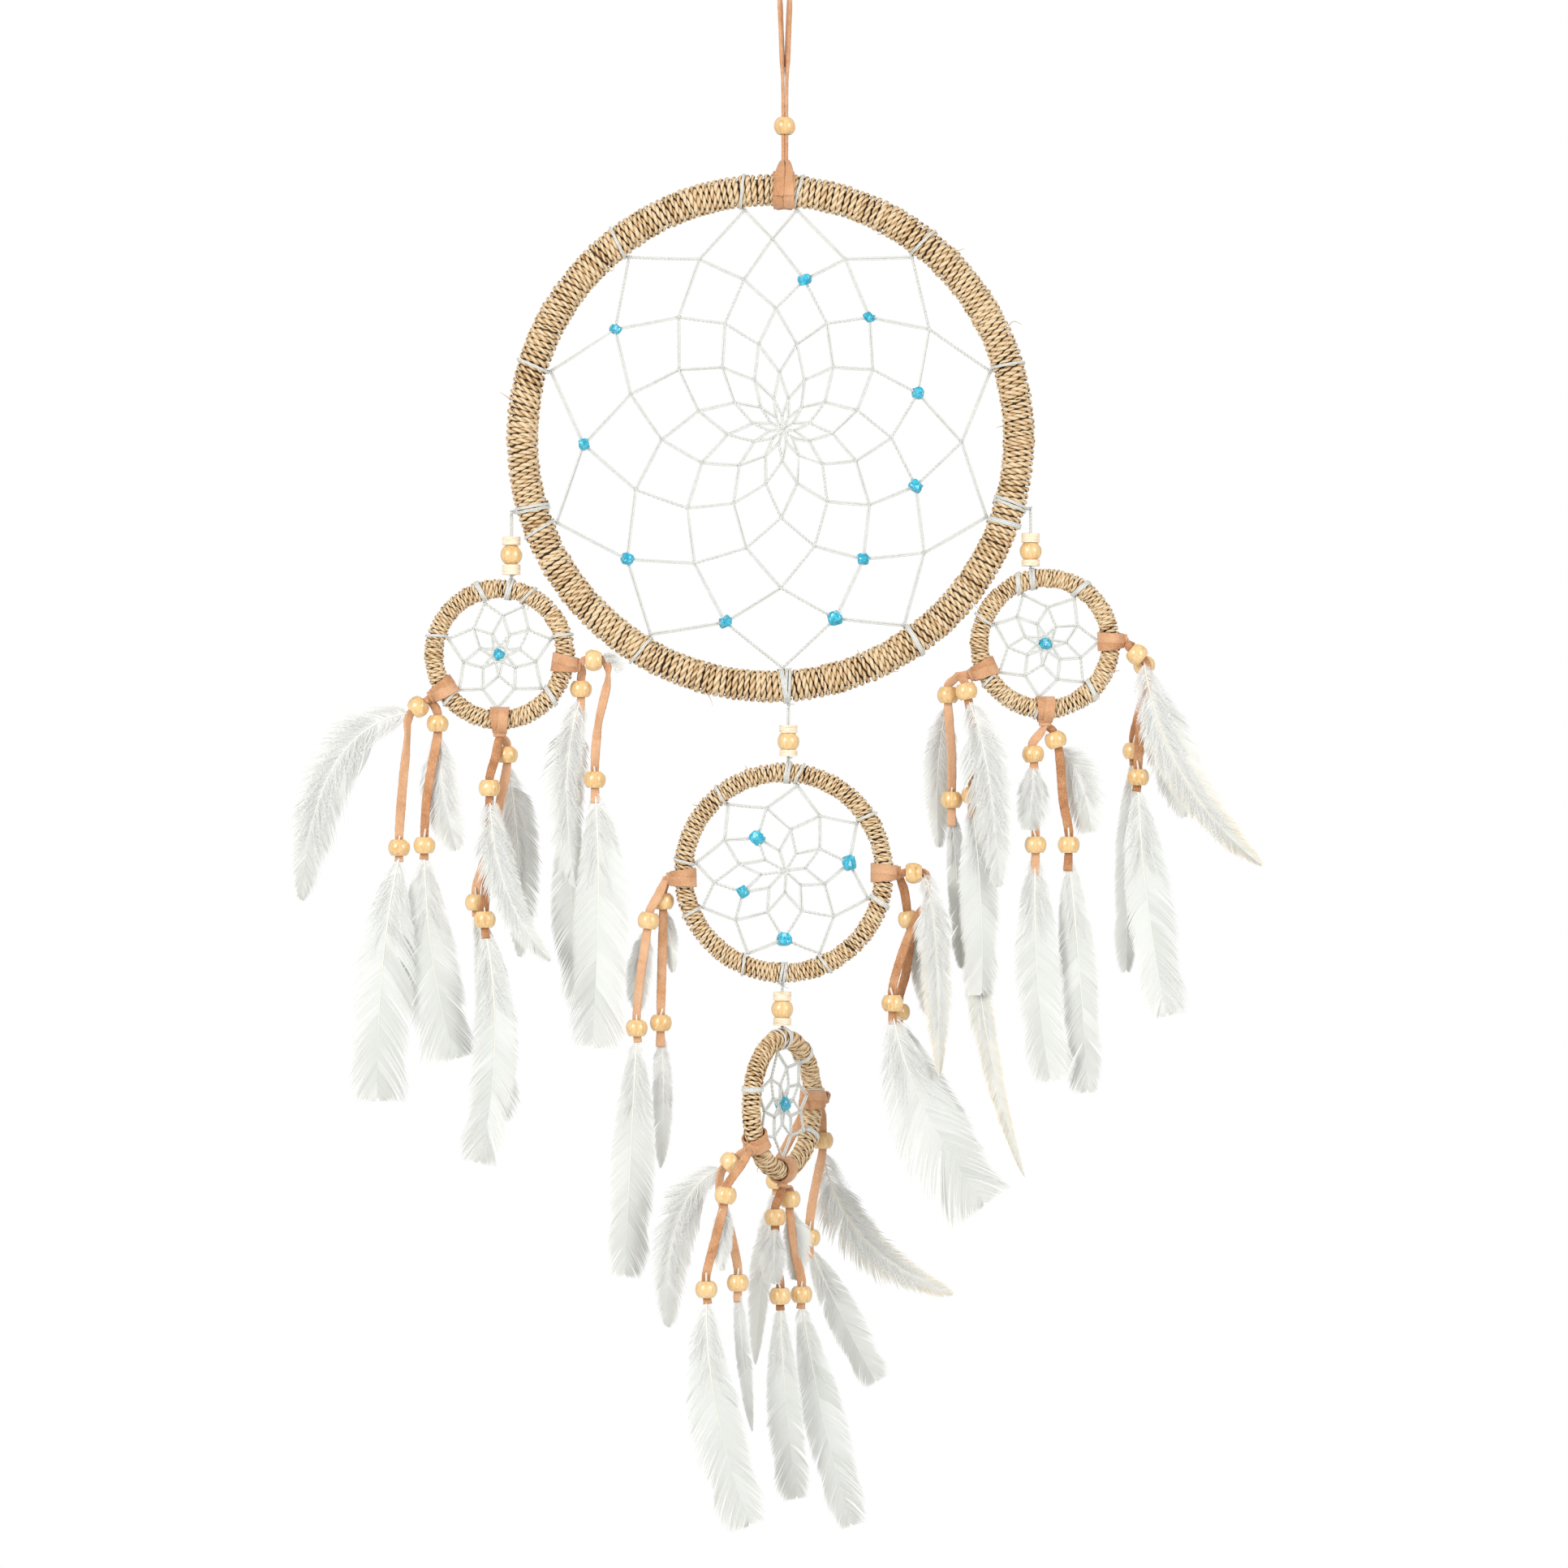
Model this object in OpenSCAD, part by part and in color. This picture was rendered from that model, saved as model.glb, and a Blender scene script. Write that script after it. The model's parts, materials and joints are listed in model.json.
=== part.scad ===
/* [Hoops] */
// Diameter of the main hoop along the middle of its winding
main_d = 208; // [206:0.5:209]
// Diameter of the medium hoop along the middle of its winding
middle_d = 84; // [83:0.5:85]
// Diameter of each small hoop along the middle of its winding
small_d = 55; // [54:0.5:55.5]
// Thickness of the wound main hoop
main_tube_d = 13.8; // [13:0.2:14]
// Thickness of the wound medium hoop
middle_tube_d = 8.5; // [8:0.1:8.6]
// Thickness of a wound small hoop
small_tube_d = 8.3; // [7.8:0.1:8.4]
// Thickness of one layer of seagrass cord
winding_t = 2.2; // [1.6:0.1:2.4]

/* [Threads] */
// Diameter of the white thread
thread_d = 0.9; // [0.7:0.05:1]
// Room for the hitch that ties a web to its winding
hitch_d = 1.6; // [1.4:0.1:1.8]

/* [Beads and stones] */
// Largest diameter of a wooden bead
bead_d = 9.2; // [9:0.1:9.3]
// Height of a wooden bead between its flat ends
bead_h = 6.8; // [6.4:0.1:7]
// Bore of a pendant bead
bead_bore_d = 4.4; // [4.3:0.1:4.8]
// Diameter of a plain wooden disc
disc_d = 7.6; // [7:0.2:8]
// Bore of the discs and beads on a hanging thread
link_bore_d = 2.4; // [2.2:0.1:2.8]

/* [Suede] */
// Width of the suede lace
lace_w = 3.8; // [3.4:0.1:3.8]
// Thickness of the suede lace
lace_t = 1.3; // [1:0.1:1.3]
// Length of hoop that a band of lace covers
band_l = 7; // [6:0.5:7]

/* [Feathers] */
// Thickness of a feather's plain solid
feather_t = 0.8; // [0.6:0.1:0.9]

/* [Hidden] */
// Each hoop: centre, radius, tube radius and turn about the vertical
MAIN = 0;
LEFT = 1;
RIGHT = 2;
MIDDLE = 3;
LOWER = 4;
CENTRE = [[-6, -195.5], [-119.5, -286], [109, -281.5], [-0.5, -377.5], [-1, -474.5]];
RADIUS = [main_d, small_d, small_d, middle_d, small_d] / 2;
TUBE = [main_tube_d, small_tube_d, small_tube_d, middle_tube_d, small_tube_d] / 2;
TURN = [0, 0, 0, 0, 62];

// Where the web is tied to each hoop, in degrees round it
TIES = [
    [96.5, 83.4, 52, 17, -20, -54.5, -87, -121.5, -158.5, -197, -232],
    [106, 64, 16.5, -39, -92.5, -139, -197],
    [114, 57, 2.5, -45, -96.5, -148, -201.5],
    [81, 34, -17, -66, -114, -157, -186.5, -231],
    [101, 49, 8, -32, -90, -148, -196]
];
// Middle of each web, measured from the middle of its hoop
WEB_MIDDLE = [[5.3, 3.7], [-0.3, 0], [0, 0], [0.7, 1], [0, 0]];
// How far each row of the web is drawn in toward the middle
SMALL_PULLS = [0.78, 0.62, 0.42];
MAIN_PULLS = [0.87, 0.83, 0.81, 0.75, 0.67, 0.58, 0.45];
PULLS = [MAIN_PULLS, SMALL_PULLS, SMALL_PULLS, [0.83, 0.7, 0.54], SMALL_PULLS];

// Chips of stone on each web: row, index, size and spin
STONES = [
    [[2, 0, 6.4, 10], [2, 1, 5.2, 70], [2, 2, 6, 130], [2, 3, 6.8, 200], [2, 4, 5.8, 260],
     [1, 5, 7, 310], [1, 6, 6, 20], [1, 7, 6.2, 95], [1, 8, 6, 150], [1, 9, 5.4, 220]],
    [],
    [],
    [[1, 1, 7.4, 40], [1, 3, 7, 115], [2, 4, 6.2, 170], [2, 6, 7.2, 300]],
    []
];
// Size of the stone in the middle of each small web
MIDDLE_STONE = [0, 4.8, 5.4, 0, 7.2];

thread_r = thread_d / 2;
hitch_r = hitch_d / 2;
bead_r = bead_d / 2;
// Room left between a winding and the threads and bands around it
wrap_gap = 0.1;

// Each hanging link: hoop, hoop above, angle of the tie above, and the heights of disc, bead and disc
LINKS = [
    [LEFT, MAIN, 196.3, [4.2, 8, 3.4], 1.1],
    [RIGHT, MAIN, -15.5, [2.6, 7, 3.9], 0.4],
    [MIDDLE, MAIN, -86.2, [2.6, 7, 3.2], 1.6],
    [LOWER, MIDDLE, -90.7, [3.2, 7, 3.6], 0.4]
];
pivot_rise = 2.2;
pivot_knot_r = 0.9;
pivot_rod_r = 0.6;
pivot_gap = 0.2;
link_gap = 0.1;

// Hanging loop of suede over a nail, and the band round the main hoop
nail_r = 1.6;
strand_t = 1.4;
strand_gap = 0.3;
strand_w = 3.4;
strand_half = strand_gap / 2 + strand_t;
strand_meet_z = -46;
hanger_bead_z = -64.7;
hanger_bead_h = 7;
hanger_bore_d = 4.9;
hanger_band = [-4.2, 3.4];
neck_top_z = -79;
hinge_z = CENTRE[MAIN][1] + sqrt(pow(RADIUS[MAIN], 2) - pow(CENTRE[MAIN][0], 2));

band_room = 1.1;
hanger_room = 0.5;
band_t = 0.9;
strap_r = 1;
hitch_hole_d = 4.6;
pinch = 0.7;
bead_clear = 0.8;
feather_gap = 0.3;
corner = 2;

// Each pendant: hoop, band angle, knot, tails and feathers.
// Tail: upper bead from the knot, its tilt, lower bead from the knot, end below that bead,
// and the place where a tail that doubles back leaves the knot.
// Feather: tail, bead (0 upper, 1 lower), depth from the knot, bend and tip from the quill,
// width, skew of the widest place and turn about the vertical.
PENDANTS = [
    // Left hoop, outer side
    [LEFT, 212, [-149.5, 0, -305],
     [[[-4, -1, -3], -50, [-12, -1, -62], 6], [[4, 1, -10], 0, [-1.5, 1, -61], 6]],
     [[0, 0, -3, [-42, -6], [-46, -78], 20, 0.5, 10], [1, 0, 3, [1, -25], [8, -49], 15, 0.6, -12],
      [0, 1, -2.6, [-10, -46], [-9, -101], 24, 0.85, 8], [1, 1, 2.6, [0, -47], [13, -85], 22, 0.85, 12]]],
    // Left hoop, bottom
    [LEFT, 270, [-119.5, 0, -320],
     [[[-4, -4, -22], 0, [-6, -4, -77], 8], [[3, 3, -8], 0, [-10, 3, -70], 6]],
     [[0, 0, -9.5, [3, -47], [26, -68], 14, 0.5, -6], [1, 0, 9, [6, -34], [5, -81], 14, 0.6, 8],
      [0, 1, -5.6, [10, -46], [-2, -97], 18, 0.85, -10], [1, 1, 4.6, [9, -36], [9, -87], 15, 0.85, -8]]],
    // Left hoop, inner side
    [LEFT, -8, [-85.5, 0, -290.5],
     [[[5.5, -2, 2], 90, [6, -3, -48], 10], [[0, 3, -10], 0, [-4, 4, -56], 6]],
     [[0, 0, -3.8, [4, 3], [7, -5], 5, 0.7, 10], [1, 0, -1.5, [-10, -32], [-2, -79], 15, 0.5, 10],
      [0, 1, -4.6, [4, -40], [-1, -107], 22, 0.85, -8], [1, 1, 5.6, [-2, -35], [6, -83], 16, 0.85, -10]]],
    // Medium hoop, left side
    [MIDDLE, 183, [-50, 0, -380.5],
     [[[-7, -3, -17], -8, [-12, -3, -62], 6], [[-1, 3, -9], 0, [-2, 3, -60], 10]],
     [[0, 0, -1, [-5, -15], [-5, -34], 10, 0.7, -10], [1, 0, 5, [4, -10], [4, -26], 6, 0.7, 0],
      [0, 1, -4.6, [-2, -42], [-5, -99], 17, 0.85, 8], [1, 1, 4.6, [2, -33], [0, -57], 8, 0.7, 12]]],
    // Medium hoop, right side
    [MIDDLE, 0, [48, 0, -379],
     [[[6, -2.5, 1.5], 90, [-3, -4.5, -53], 9], [[4, 3, -18], 10, [0, 4.5, -57], 6]],
     [[0, 0, -9, [7, -9], [7, -85], 12, 0.45, 8], [1, 0, 6.2, [6, -9], [8, -36], 12, 0.7, -10],
      [0, 1, -6.2, [7, -41], [39, -80], 29, 0.9, 10], [1, 1, 6.2, [8, -28], [28, -58], 18, 0.9, 8]]],
    // Right hoop, inner side
    [RIGHT, 203, [72.5, 0, -295],
     [[[3.5, -2.8, -6.5], 12, [6, -2.5, -50], 14], [[-4, 3, -8], 0, [-2.5, 2.5, -52], 11]],
     [[0, 0, -8, [10, -23], [13, -78], 17, 0.5, -10], [1, 0, 8, [-6, -23], [-4, -60], 12, 0.6, 8],
      [0, 1, -4.2, [5, -44], [4, -79], 15, 0.8, 10], [1, 1, 4.2, [3, -32], [5, -66], 9, 0.8, 8],
      [0, 1, 0.2, [-3, -88], [22, -156], 10, 0.6, -6]]],
    // Right hoop, bottom
    [RIGHT, 270, [109, 0, -315.8],
     [[[-5, -1, -12], 5, [-4, -1, -50], 13], [[4.5, 1, -6], 18, [10, 1, -50], 11]],
     [[0, 0, -2.8, [-1, -17], [-2, -28], 12, 0.6, 8], [1, 0, 6.2, [11, -7], [14, -35], 15, 0.6, -8],
      [0, 1, -2.6, [-2, -50], [6, -94], 18, 0.85, -8], [1, 1, 2.6, [6, -51], [8, -99], 15, 0.85, -10]]],
    // Right hoop, outer side
    [RIGHT, 2, [142.8, 0, -280.5],
     [[[4.5, -4, -5.5], 50, [5, -4, -57], 6], [[8, 4, -10], 20, [3.5, 4, -46], 6]],
     [[0, 0, -9.5, [7, -53], [49, -86], 16, 0.45, -8], [1, 0, 6, [9, -24], [16, -60], 16, 0.6, 8],
      [0, 1, -5.6, [2, -48], [12, -95], 19, 0.85, 8], [1, 1, 5.6, [-2, -49], [-3, -88], 10, 0.85, 12]]],
    // Lower hoop, near side
    [LOWER, 212, [-14.5, -26.5, -492.5],
     [[[-10, -5, -18], -10, [-18, -5, -57], 6], [[-8, 4, -5], -50, [-5, 4, -55], 8]],
     [[0, 0, -3, [0, -12], [-1, -28], 8, 0.6, 10], [1, 0, 5.8, [-26, -9], [-24, -66], 16, 0.5, -8],
      [0, 1, -6.6, [-1, -44], [18, -93], 20, 0.85, 8], [1, 1, 5.8, [2, -32], [6, -58], 6, 0.7, 10]]],
    // Lower hoop, bottom
    [LOWER, 270, [-1, 0, -508.5],
     [[[-3, -4, -13], 0, [-1, -4, -46], 6], [[3, 4, -6], 0, [8, 4, -46], 6]],
     [[0, 0, -5.8, [-1, -12], [0, -24], 10, 0.6, 8], [1, 0, 5.8, [4, -14], [2, -30], 10, 0.6, -8],
      [0, 1, -5.8, [1, -38], [7, -80], 14, 0.9, 8], [1, 1, 5.8, [6, -45], [21, -93], 16, 0.9, 10]]],
    // Lower hoop, far side
    [LOWER, 2, [14.5, 31, -475.5],
     [[[1.5, 1, -16], 0, [-4, -2, -57], 10], [[-1, 6, 3], -90, [-18, 0, -33], 6, [6.5, 5, 2.5]]],
     [[0, 0, 3.8, [7, -45], [56, -62], 16, 0.45, 8], [0, 1, -4.6, [13, -30], [28, -57], 14, 0.85, 8],
      [1, 1, 1.6, [-7, -30], [-9, -74], 9, 0.7, 10]]]
];

$fn = 48;

// ---- Hoops and webs ----

// Places its children in the plane of a hoop: x along it, y up, z toward the front
module in_hoop(h) {
    translate([CENTRE[h][0], 0, CENTRE[h][1]]) rotate([0, 0, TURN[h]]) rotate([90, 0, 0]) children();
}

module core_ring(h) {
    color("tan") in_hoop(h) rotate_extrude($fn = 96)
        translate([RADIUS[h], 0]) circle(r = TUBE[h] - winding_t - wrap_gap);
}

module winding(h) {
    color("burlywood") in_hoop(h) rotate_extrude($fn = 96)
        translate([RADIUS[h], 0]) difference() {
            circle(r = TUBE[h]);
            circle(r = TUBE[h] - winding_t);
        }
}

// A ring of thread round the winding at one angle
module tie(h, angle) {
    rotate([0, 0, angle]) translate([RADIUS[h], 0, 0]) rotate([90, 0, 0]) difference() {
        cylinder(r = TUBE[h] + wrap_gap + thread_d, h = thread_d, center = true);
        cylinder(r = TUBE[h] + wrap_gap, h = thread_d + 1, center = true);
    }
}

// A straight rod between two points
module rod(a, b, r) {
    d = b - a;
    l = norm(d);
    translate(a) rotate([0, acos(d[2] / l), atan2(d[1], d[0])]) cylinder(r = r, h = l);
}

function on_circle(r, angle) = r * [cos(angle), sin(angle)];
function flat(p) = [p[0], p[1], 0];
function web_r(h) = RADIUS[h] - TUBE[h] - hitch_r - wrap_gap;

// Row 0 is the points on the hoop; each further row hangs from the middles of the one before
function row(h, r) = r == 0
    ? [for (angle = TIES[h]) on_circle(web_r(h), angle)]
    : next_row(row(h, r - 1), PULLS[h][r - 1], WEB_MIDDLE[h]);
function next_row(points, pull, m) = let (n = len(points))
    [for (k = [0:n - 1]) m + pull * ((points[k] + points[(k + 1) % n]) / 2 - m)];
function rows(h) = [for (r = [0:len(PULLS[h])]) row(h, r)];

// Moves each side of an anticlockwise outline inward by d
function unit(v) = v / norm(v);
function left_of(a, b) = let (d = unit(b - a)) [-d[1], d[0]];
function inset(shape, d) = let (n = len(shape)) [for (i = [0:n - 1])
    let (a = shape[(i + n - 1) % n], b = shape[i], c = shape[(i + 1) % n])
        let (m = unit(left_of(a, b) + left_of(b, c))) b + m * d / (m * left_of(a, b))];

// The net as one flat piece: closed meets in a middle knot, open leaves a ring of thread
module net(h, closed, grow = 0) {
    reach = thread_r + grow;
    points = rows(h);
    n = len(TIES[h]);
    last = len(points) - 1;
    outline = [for (k = [n - 1:-1:0]) each [points[1][k], points[0][k]]];
    linear_extrude(2 * reach, center = true) difference() {
        polygon(inset(outline, -reach));
        for (r = [1:last], k = [0:n - 1]) {
            outer = points[r - 1][(k + 1) % n];
            sides = [points[r][k], points[r][(k + 1) % n]];
            inner = r < last ? [points[r + 1][k]] : closed ? [WEB_MIDDLE[h]] : [];
            polygon(inset(concat([outer, sides[0]], inner, [sides[1]]), reach));
        }
        if (!closed) polygon(inset([for (k = [n - 1:-1:0]) points[last][k]], reach));
    }
}

module web(h, closed) {
    net(h, closed);
    for (angle = TIES[h]) tie(h, angle);
}

// ---- Hanging links ----

function pivot(link) = let (h = link[1], p = on_circle(RADIUS[h] + TUBE[h] + pivot_rise, link[2]))
    [CENTRE[h][0] + p[0], CENTRE[h][1] + p[1]];
// Height of the tie's top above the middle of the hoop that hangs from a link
function tie_top(link) = let (r = RADIUS[link[0]] + TUBE[link[0]] + wrap_gap + thread_d)
    sqrt(r * r - pow(pivot(link)[0] - CENTRE[link[0]][0], 2));
function stack_z(link) = CENTRE[link[0]][1] + tie_top(link) + link[4];

// Thread from just under the knot above, through the beads, to the tie on the hoop
module hanging_thread(link) {
    h = link[0];
    top = pivot(link)[1] - pivot_knot_r - pivot_gap;
    foot = CENTRE[h][1] + tie_top(link) - thread_r;
    translate([pivot(link)[0], 0, foot]) cylinder(r = thread_r, h = top - foot);
    side = acos((pivot(link)[0] - CENTRE[h][0]) / (RADIUS[h] + TUBE[h]));
    in_hoop(h) tie(h, side);
}

// Tie and knot from which the hoop below hangs
module hanging_knot(link) {
    in_hoop(link[1]) tie(link[1], link[2]);
    h = link[1];
    near = on_circle(RADIUS[h] + TUBE[h] + wrap_gap + thread_r, link[2]);
    in_hoop(h) rod(flat(near), flat(on_circle(RADIUS[h] + TUBE[h] + pivot_rise, link[2])), pivot_rod_r);
    translate([pivot(link)[0], 0, pivot(link)[1]]) sphere(r = pivot_knot_r, $fn = 24);
}

// A turned wooden bead with flat ends, its bore along Z
module bead(height, bore) {
    rotate_extrude() difference() {
        intersection() {
            circle(r = bead_r);
            translate([0, -height / 2]) square([bead_r, height]);
        }
        translate([0, -bead_d / 2]) square([bore / 2, bead_d]);
    }
}

module disc(height) {
    difference() {
        cylinder(d = disc_d, h = height);
        translate([0, 0, -1]) cylinder(d = link_bore_d, h = height + 2);
    }
}

module link_beads(link) {
    size = link[3];
    translate([pivot(link)[0], 0, stack_z(link)]) {
        color("wheat") disc(size[0]);
        color("goldenrod") translate([0, 0, size[0] + link_gap + size[1] / 2]) bead(size[1], link_bore_d);
        color("wheat") translate([0, 0, size[0] + size[1] + 2 * link_gap]) disc(size[2]);
    }
}

// ---- Stones ----

// A chip of stone with a few broken faces
module chip(size, spin) {
    intersection() {
        sphere(d = size);
        rotate([spin, spin / 2, spin * 1.7]) cube(size * [0.92, 0.66, 0.8], center = true);
        rotate([spin * 2.3, 40 - spin, spin / 3]) cube(size * [0.74, 0.86, 0.9], center = true);
    }
}

module stones(h) {
    color("turquoise") in_hoop(h) difference() {
        for (s = STONES[h]) translate(flat(row(h, s[0])[s[1]])) chip(s[2], s[3]);
        net(h, true, wrap_gap);
    }
}

// The stone in the middle of a small web, threaded on the web's last ring
module middle_stone(h) {
    color("turquoise") in_hoop(h) difference() {
        translate(flat(WEB_MIDDLE[h])) chip(MIDDLE_STONE[h], 30 + 40 * h);
        net(h, false, wrap_gap);
    }
}

// ---- Hanger ----

// One side of the loop: a leg that leans in to its pair and runs straight down
module hanger_leg() {
    top = nail_r + strand_t;
    polygon([[nail_r, -nail_r], [top, -nail_r], [strand_half, strand_meet_z],
             [strand_half, neck_top_z - 1], [strand_gap / 2, neck_top_z - 1],
             [strand_gap / 2, strand_meet_z]]);
}

module hanger_lace() {
    sleeve_r = TUBE[MAIN] + hanger_room;
    sleeve_top = hinge_z + sleeve_r + band_t / 2;
    color("rosybrown") {
        translate([0, strand_w / 2, 0]) rotate([90, 0, 0]) linear_extrude(strand_w) {
            translate([0, -nail_r]) difference() {
                circle(r = nail_r + strand_t);
                circle(r = nail_r);
                translate([-10, -20]) square([20, 20]);
            }
            hanger_leg();
            mirror([1, 0]) hanger_leg();
            polygon([[-strand_half, neck_top_z], [strand_half, neck_top_z],
                     [hanger_band[1], sleeve_top], [hanger_band[0], sleeve_top]]);
        }
        translate([hanger_band[0], 0, hinge_z]) rotate([0, 90, 0]) difference() {
            cylinder(r = sleeve_r + band_t, h = hanger_band[1] - hanger_band[0]);
            translate([0, 0, -1]) cylinder(r = sleeve_r, h = hanger_band[1] - hanger_band[0] + 2);
        }
    }
}

module hanger_bead() {
    color("goldenrod") translate([0, 0, hanger_bead_z]) bead(hanger_bead_h, hanger_bore_d);
}

// ---- Pendants ----

// Direction of a bead's bore in the x-z plane, and the width direction across it
function bore_up(tilt) = [-sin(tilt), 0, cos(tilt)];
function bore_across(tilt) = [cos(tilt), 0, sin(tilt)];
function bead_exit(place, tilt, gap) = place - (bead_h / 2 + gap) * bore_up(tilt);

// One flat ring of the lace, as eight points round its middle
function ring(p, across, w, t) = let (c = t / 4)
    [for (s = [[w / 2, -t / 2 + c], [w / 2, t / 2 - c], [w / 2 - c, t / 2], [-w / 2 + c, t / 2],
               [-w / 2, t / 2 - c], [-w / 2, -t / 2 + c], [-w / 2 + c, -t / 2], [w / 2 - c, -t / 2]])
        p + s[0] * across + [0, s[1], 0]];

// A closed tube through a list of rings
module tube(rings) {
    n = len(rings[0]);
    m = len(rings);
    points = [for (r = rings, p = r) p];
    sides = [for (i = [0:m - 2], k = [0:n - 1], side = [0, 1]) let (a = i * n, b = a + n, j = (k + 1) % n)
        side == 0 ? [a + k, a + j, b + j] : [a + k, b + j, b + k]];
    ends = [[for (k = [n - 1:-1:0]) k], [for (k = [0:n - 1]) (m - 1) * n + k]];
    polyhedron(points, concat(sides, ends), convexity = 4);
}

// A tail of lace from the knot through its two beads
module tail(knot, t) {
    first = knot + (t[4] == undef ? [0, 0, 0] : t[4]);
    upper = knot + t[0];
    lower = knot + t[2];
    out = bead_exit(upper, t[1], bead_clear);
    across = bore_across(t[1]);
    down = [0, 0, -1];
    level = [1, 0, 0];
    turn_dir = (across + level) / norm(across + level);
    tube([
        ring(first, across, pinch * 2, lace_t),
        ring(upper * 2 - out, across, lace_w, lace_t),
        ring(out, across, lace_w, lace_t),
        ring(out + corner * (down - bore_up(t[1])), turn_dir, lace_w, lace_t),
        ring(lower + [0, 0, bead_h / 2 + bead_clear], level, lace_w, lace_t),
        ring(lower - [0, 0, t[3]], level, lace_w, lace_t)
    ]);
    if (first != knot) rod(knot, first, pinch);
}

// Hole in a band's inner side for the hitch of a tie that the band covers
module hitch_hole(h, angle) {
    along = web_r(h) * sin(angle);
    if (cos(angle) > 0 && abs(along) < band_l)
        rotate([0, -90, 0]) translate([-along, 0, 0]) cylinder(d = hitch_hole_d, h = RADIUS[h] / 2);
}

// The band of lace round a hoop and the strap from it to the knot
module band(h, angle, knot) {
    r = TUBE[h] + band_room;
    in_hoop(h) rotate([0, 0, angle]) translate([RADIUS[h], 0, 0]) rotate([90, 0, 0]) difference() {
        cylinder(r = r + band_t, h = band_l, center = true);
        cylinder(r = r, h = band_l + 2, center = true);
        for (tie_angle = TIES[h]) hitch_hole(h, tie_angle - angle);
    }
    out = on_circle(RADIUS[h] + r + band_t / 2, angle);
    side = [cos(TURN[h]), sin(TURN[h]), 0];
    start = [CENTRE[h][0], 0, CENTRE[h][1]] + out[0] * side + [0, 0, out[1]];
    rod(start, knot, strap_r);
    translate(knot) sphere(r = strap_r * 1.15, $fn = 24);
}

module pendant_lace(p) {
    color("rosybrown") {
        band(p[0], p[1], p[2]);
        for (t = p[3]) tail(p[2], t);
    }
}

module pendant_beads(p) {
    color("goldenrod") for (t = p[3]) {
        translate(p[2] + t[0]) rotate([0, -t[1], 0]) bead(bead_h, bead_bore_d);
        translate(p[2] + t[2]) bead(bead_h, bead_bore_d);
    }
}

// Outline of a feather: a bent quill with its widest place set by the skew
function quill(bend, tip, t) = 2 * t * (1 - t) * bend + t * t * tip;
function quill_side(bend, tip, t) = let (d = 2 * (1 - 2 * t) * bend + 2 * t * tip) [-d[1], d[0]] / norm(d);
function vane(w, skew, t) = t <= 0 || t >= 1 ? 0.5 : max(0.5, w / 2 * pow(sin(180 * pow(t, skew)), 0.7));
function vane_edge(bend, tip, w, skew, t, side) =
    quill(bend, tip, t) + side * vane(w, skew, t) * quill_side(bend, tip, t);

module feather(bend, tip, w, skew) {
    steps = 10;
    outline = concat([for (i = [0:steps]) vane_edge(bend, tip, w, skew, i / steps, 1)],
                     [for (i = [steps:-1:0]) vane_edge(bend, tip, w, skew, i / steps, -1)]);
    translate([0, feather_t / 2, 0]) rotate([90, 0, 0]) linear_extrude(feather_t) polygon(outline);
}

module pendant_feathers(p) {
    color("white") for (f = p[4]) {
        t = p[3][f[0]];
        start = f[1] == 0 ? bead_exit(t[0], t[1], feather_gap) : bead_exit(t[2], 0, feather_gap);
        translate(p[2] + [start[0], f[2], start[2]]) rotate([0, 0, f[7]]) feather(f[3], f[4], f[5], f[6]);
    }
}

// ---- Sub-parts by name ----

module main_ring() core_ring(MAIN);
module main_wrap() winding(MAIN);
module main_web() color("whitesmoke") {
    in_hoop(MAIN) web(MAIN, true);
    for (i = [0:2]) hanging_knot(LINKS[i]);
}
module main_stones() stones(MAIN);

module left_link_beads() link_beads(LINKS[0]);
module left_ring() core_ring(LEFT);
module left_wrap() winding(LEFT);
module left_web() color("whitesmoke") {
    in_hoop(LEFT) web(LEFT, false);
    hanging_thread(LINKS[0]);
}
module left_stone() middle_stone(LEFT);

module right_link_beads() link_beads(LINKS[1]);
module right_ring() core_ring(RIGHT);
module right_wrap() winding(RIGHT);
module right_web() color("whitesmoke") {
    in_hoop(RIGHT) web(RIGHT, false);
    hanging_thread(LINKS[1]);
}
module right_stone() middle_stone(RIGHT);

module middle_link_beads() link_beads(LINKS[2]);
module middle_ring() core_ring(MIDDLE);
module middle_wrap() winding(MIDDLE);
module middle_web() color("whitesmoke") {
    in_hoop(MIDDLE) web(MIDDLE, true);
    hanging_thread(LINKS[2]);
    hanging_knot(LINKS[3]);
}
module middle_stones() stones(MIDDLE);

module lower_link_beads() link_beads(LINKS[3]);
module lower_ring() core_ring(LOWER);
module lower_wrap() winding(LOWER);
module lower_web() color("whitesmoke") {
    in_hoop(LOWER) web(LOWER, false);
    hanging_thread(LINKS[3]);
}
module lower_stone() middle_stone(LOWER);

module left_outer_lace() pendant_lace(PENDANTS[0]);
module left_outer_beads() pendant_beads(PENDANTS[0]);
module left_outer_feathers() pendant_feathers(PENDANTS[0]);

module left_bottom_lace() pendant_lace(PENDANTS[1]);
module left_bottom_beads() pendant_beads(PENDANTS[1]);
module left_bottom_feathers() pendant_feathers(PENDANTS[1]);

module left_inner_lace() pendant_lace(PENDANTS[2]);
module left_inner_beads() pendant_beads(PENDANTS[2]);
module left_inner_feathers() pendant_feathers(PENDANTS[2]);

module middle_left_lace() pendant_lace(PENDANTS[3]);
module middle_left_beads() pendant_beads(PENDANTS[3]);
module middle_left_feathers() pendant_feathers(PENDANTS[3]);

module middle_right_lace() pendant_lace(PENDANTS[4]);
module middle_right_beads() pendant_beads(PENDANTS[4]);
module middle_right_feathers() pendant_feathers(PENDANTS[4]);

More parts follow.
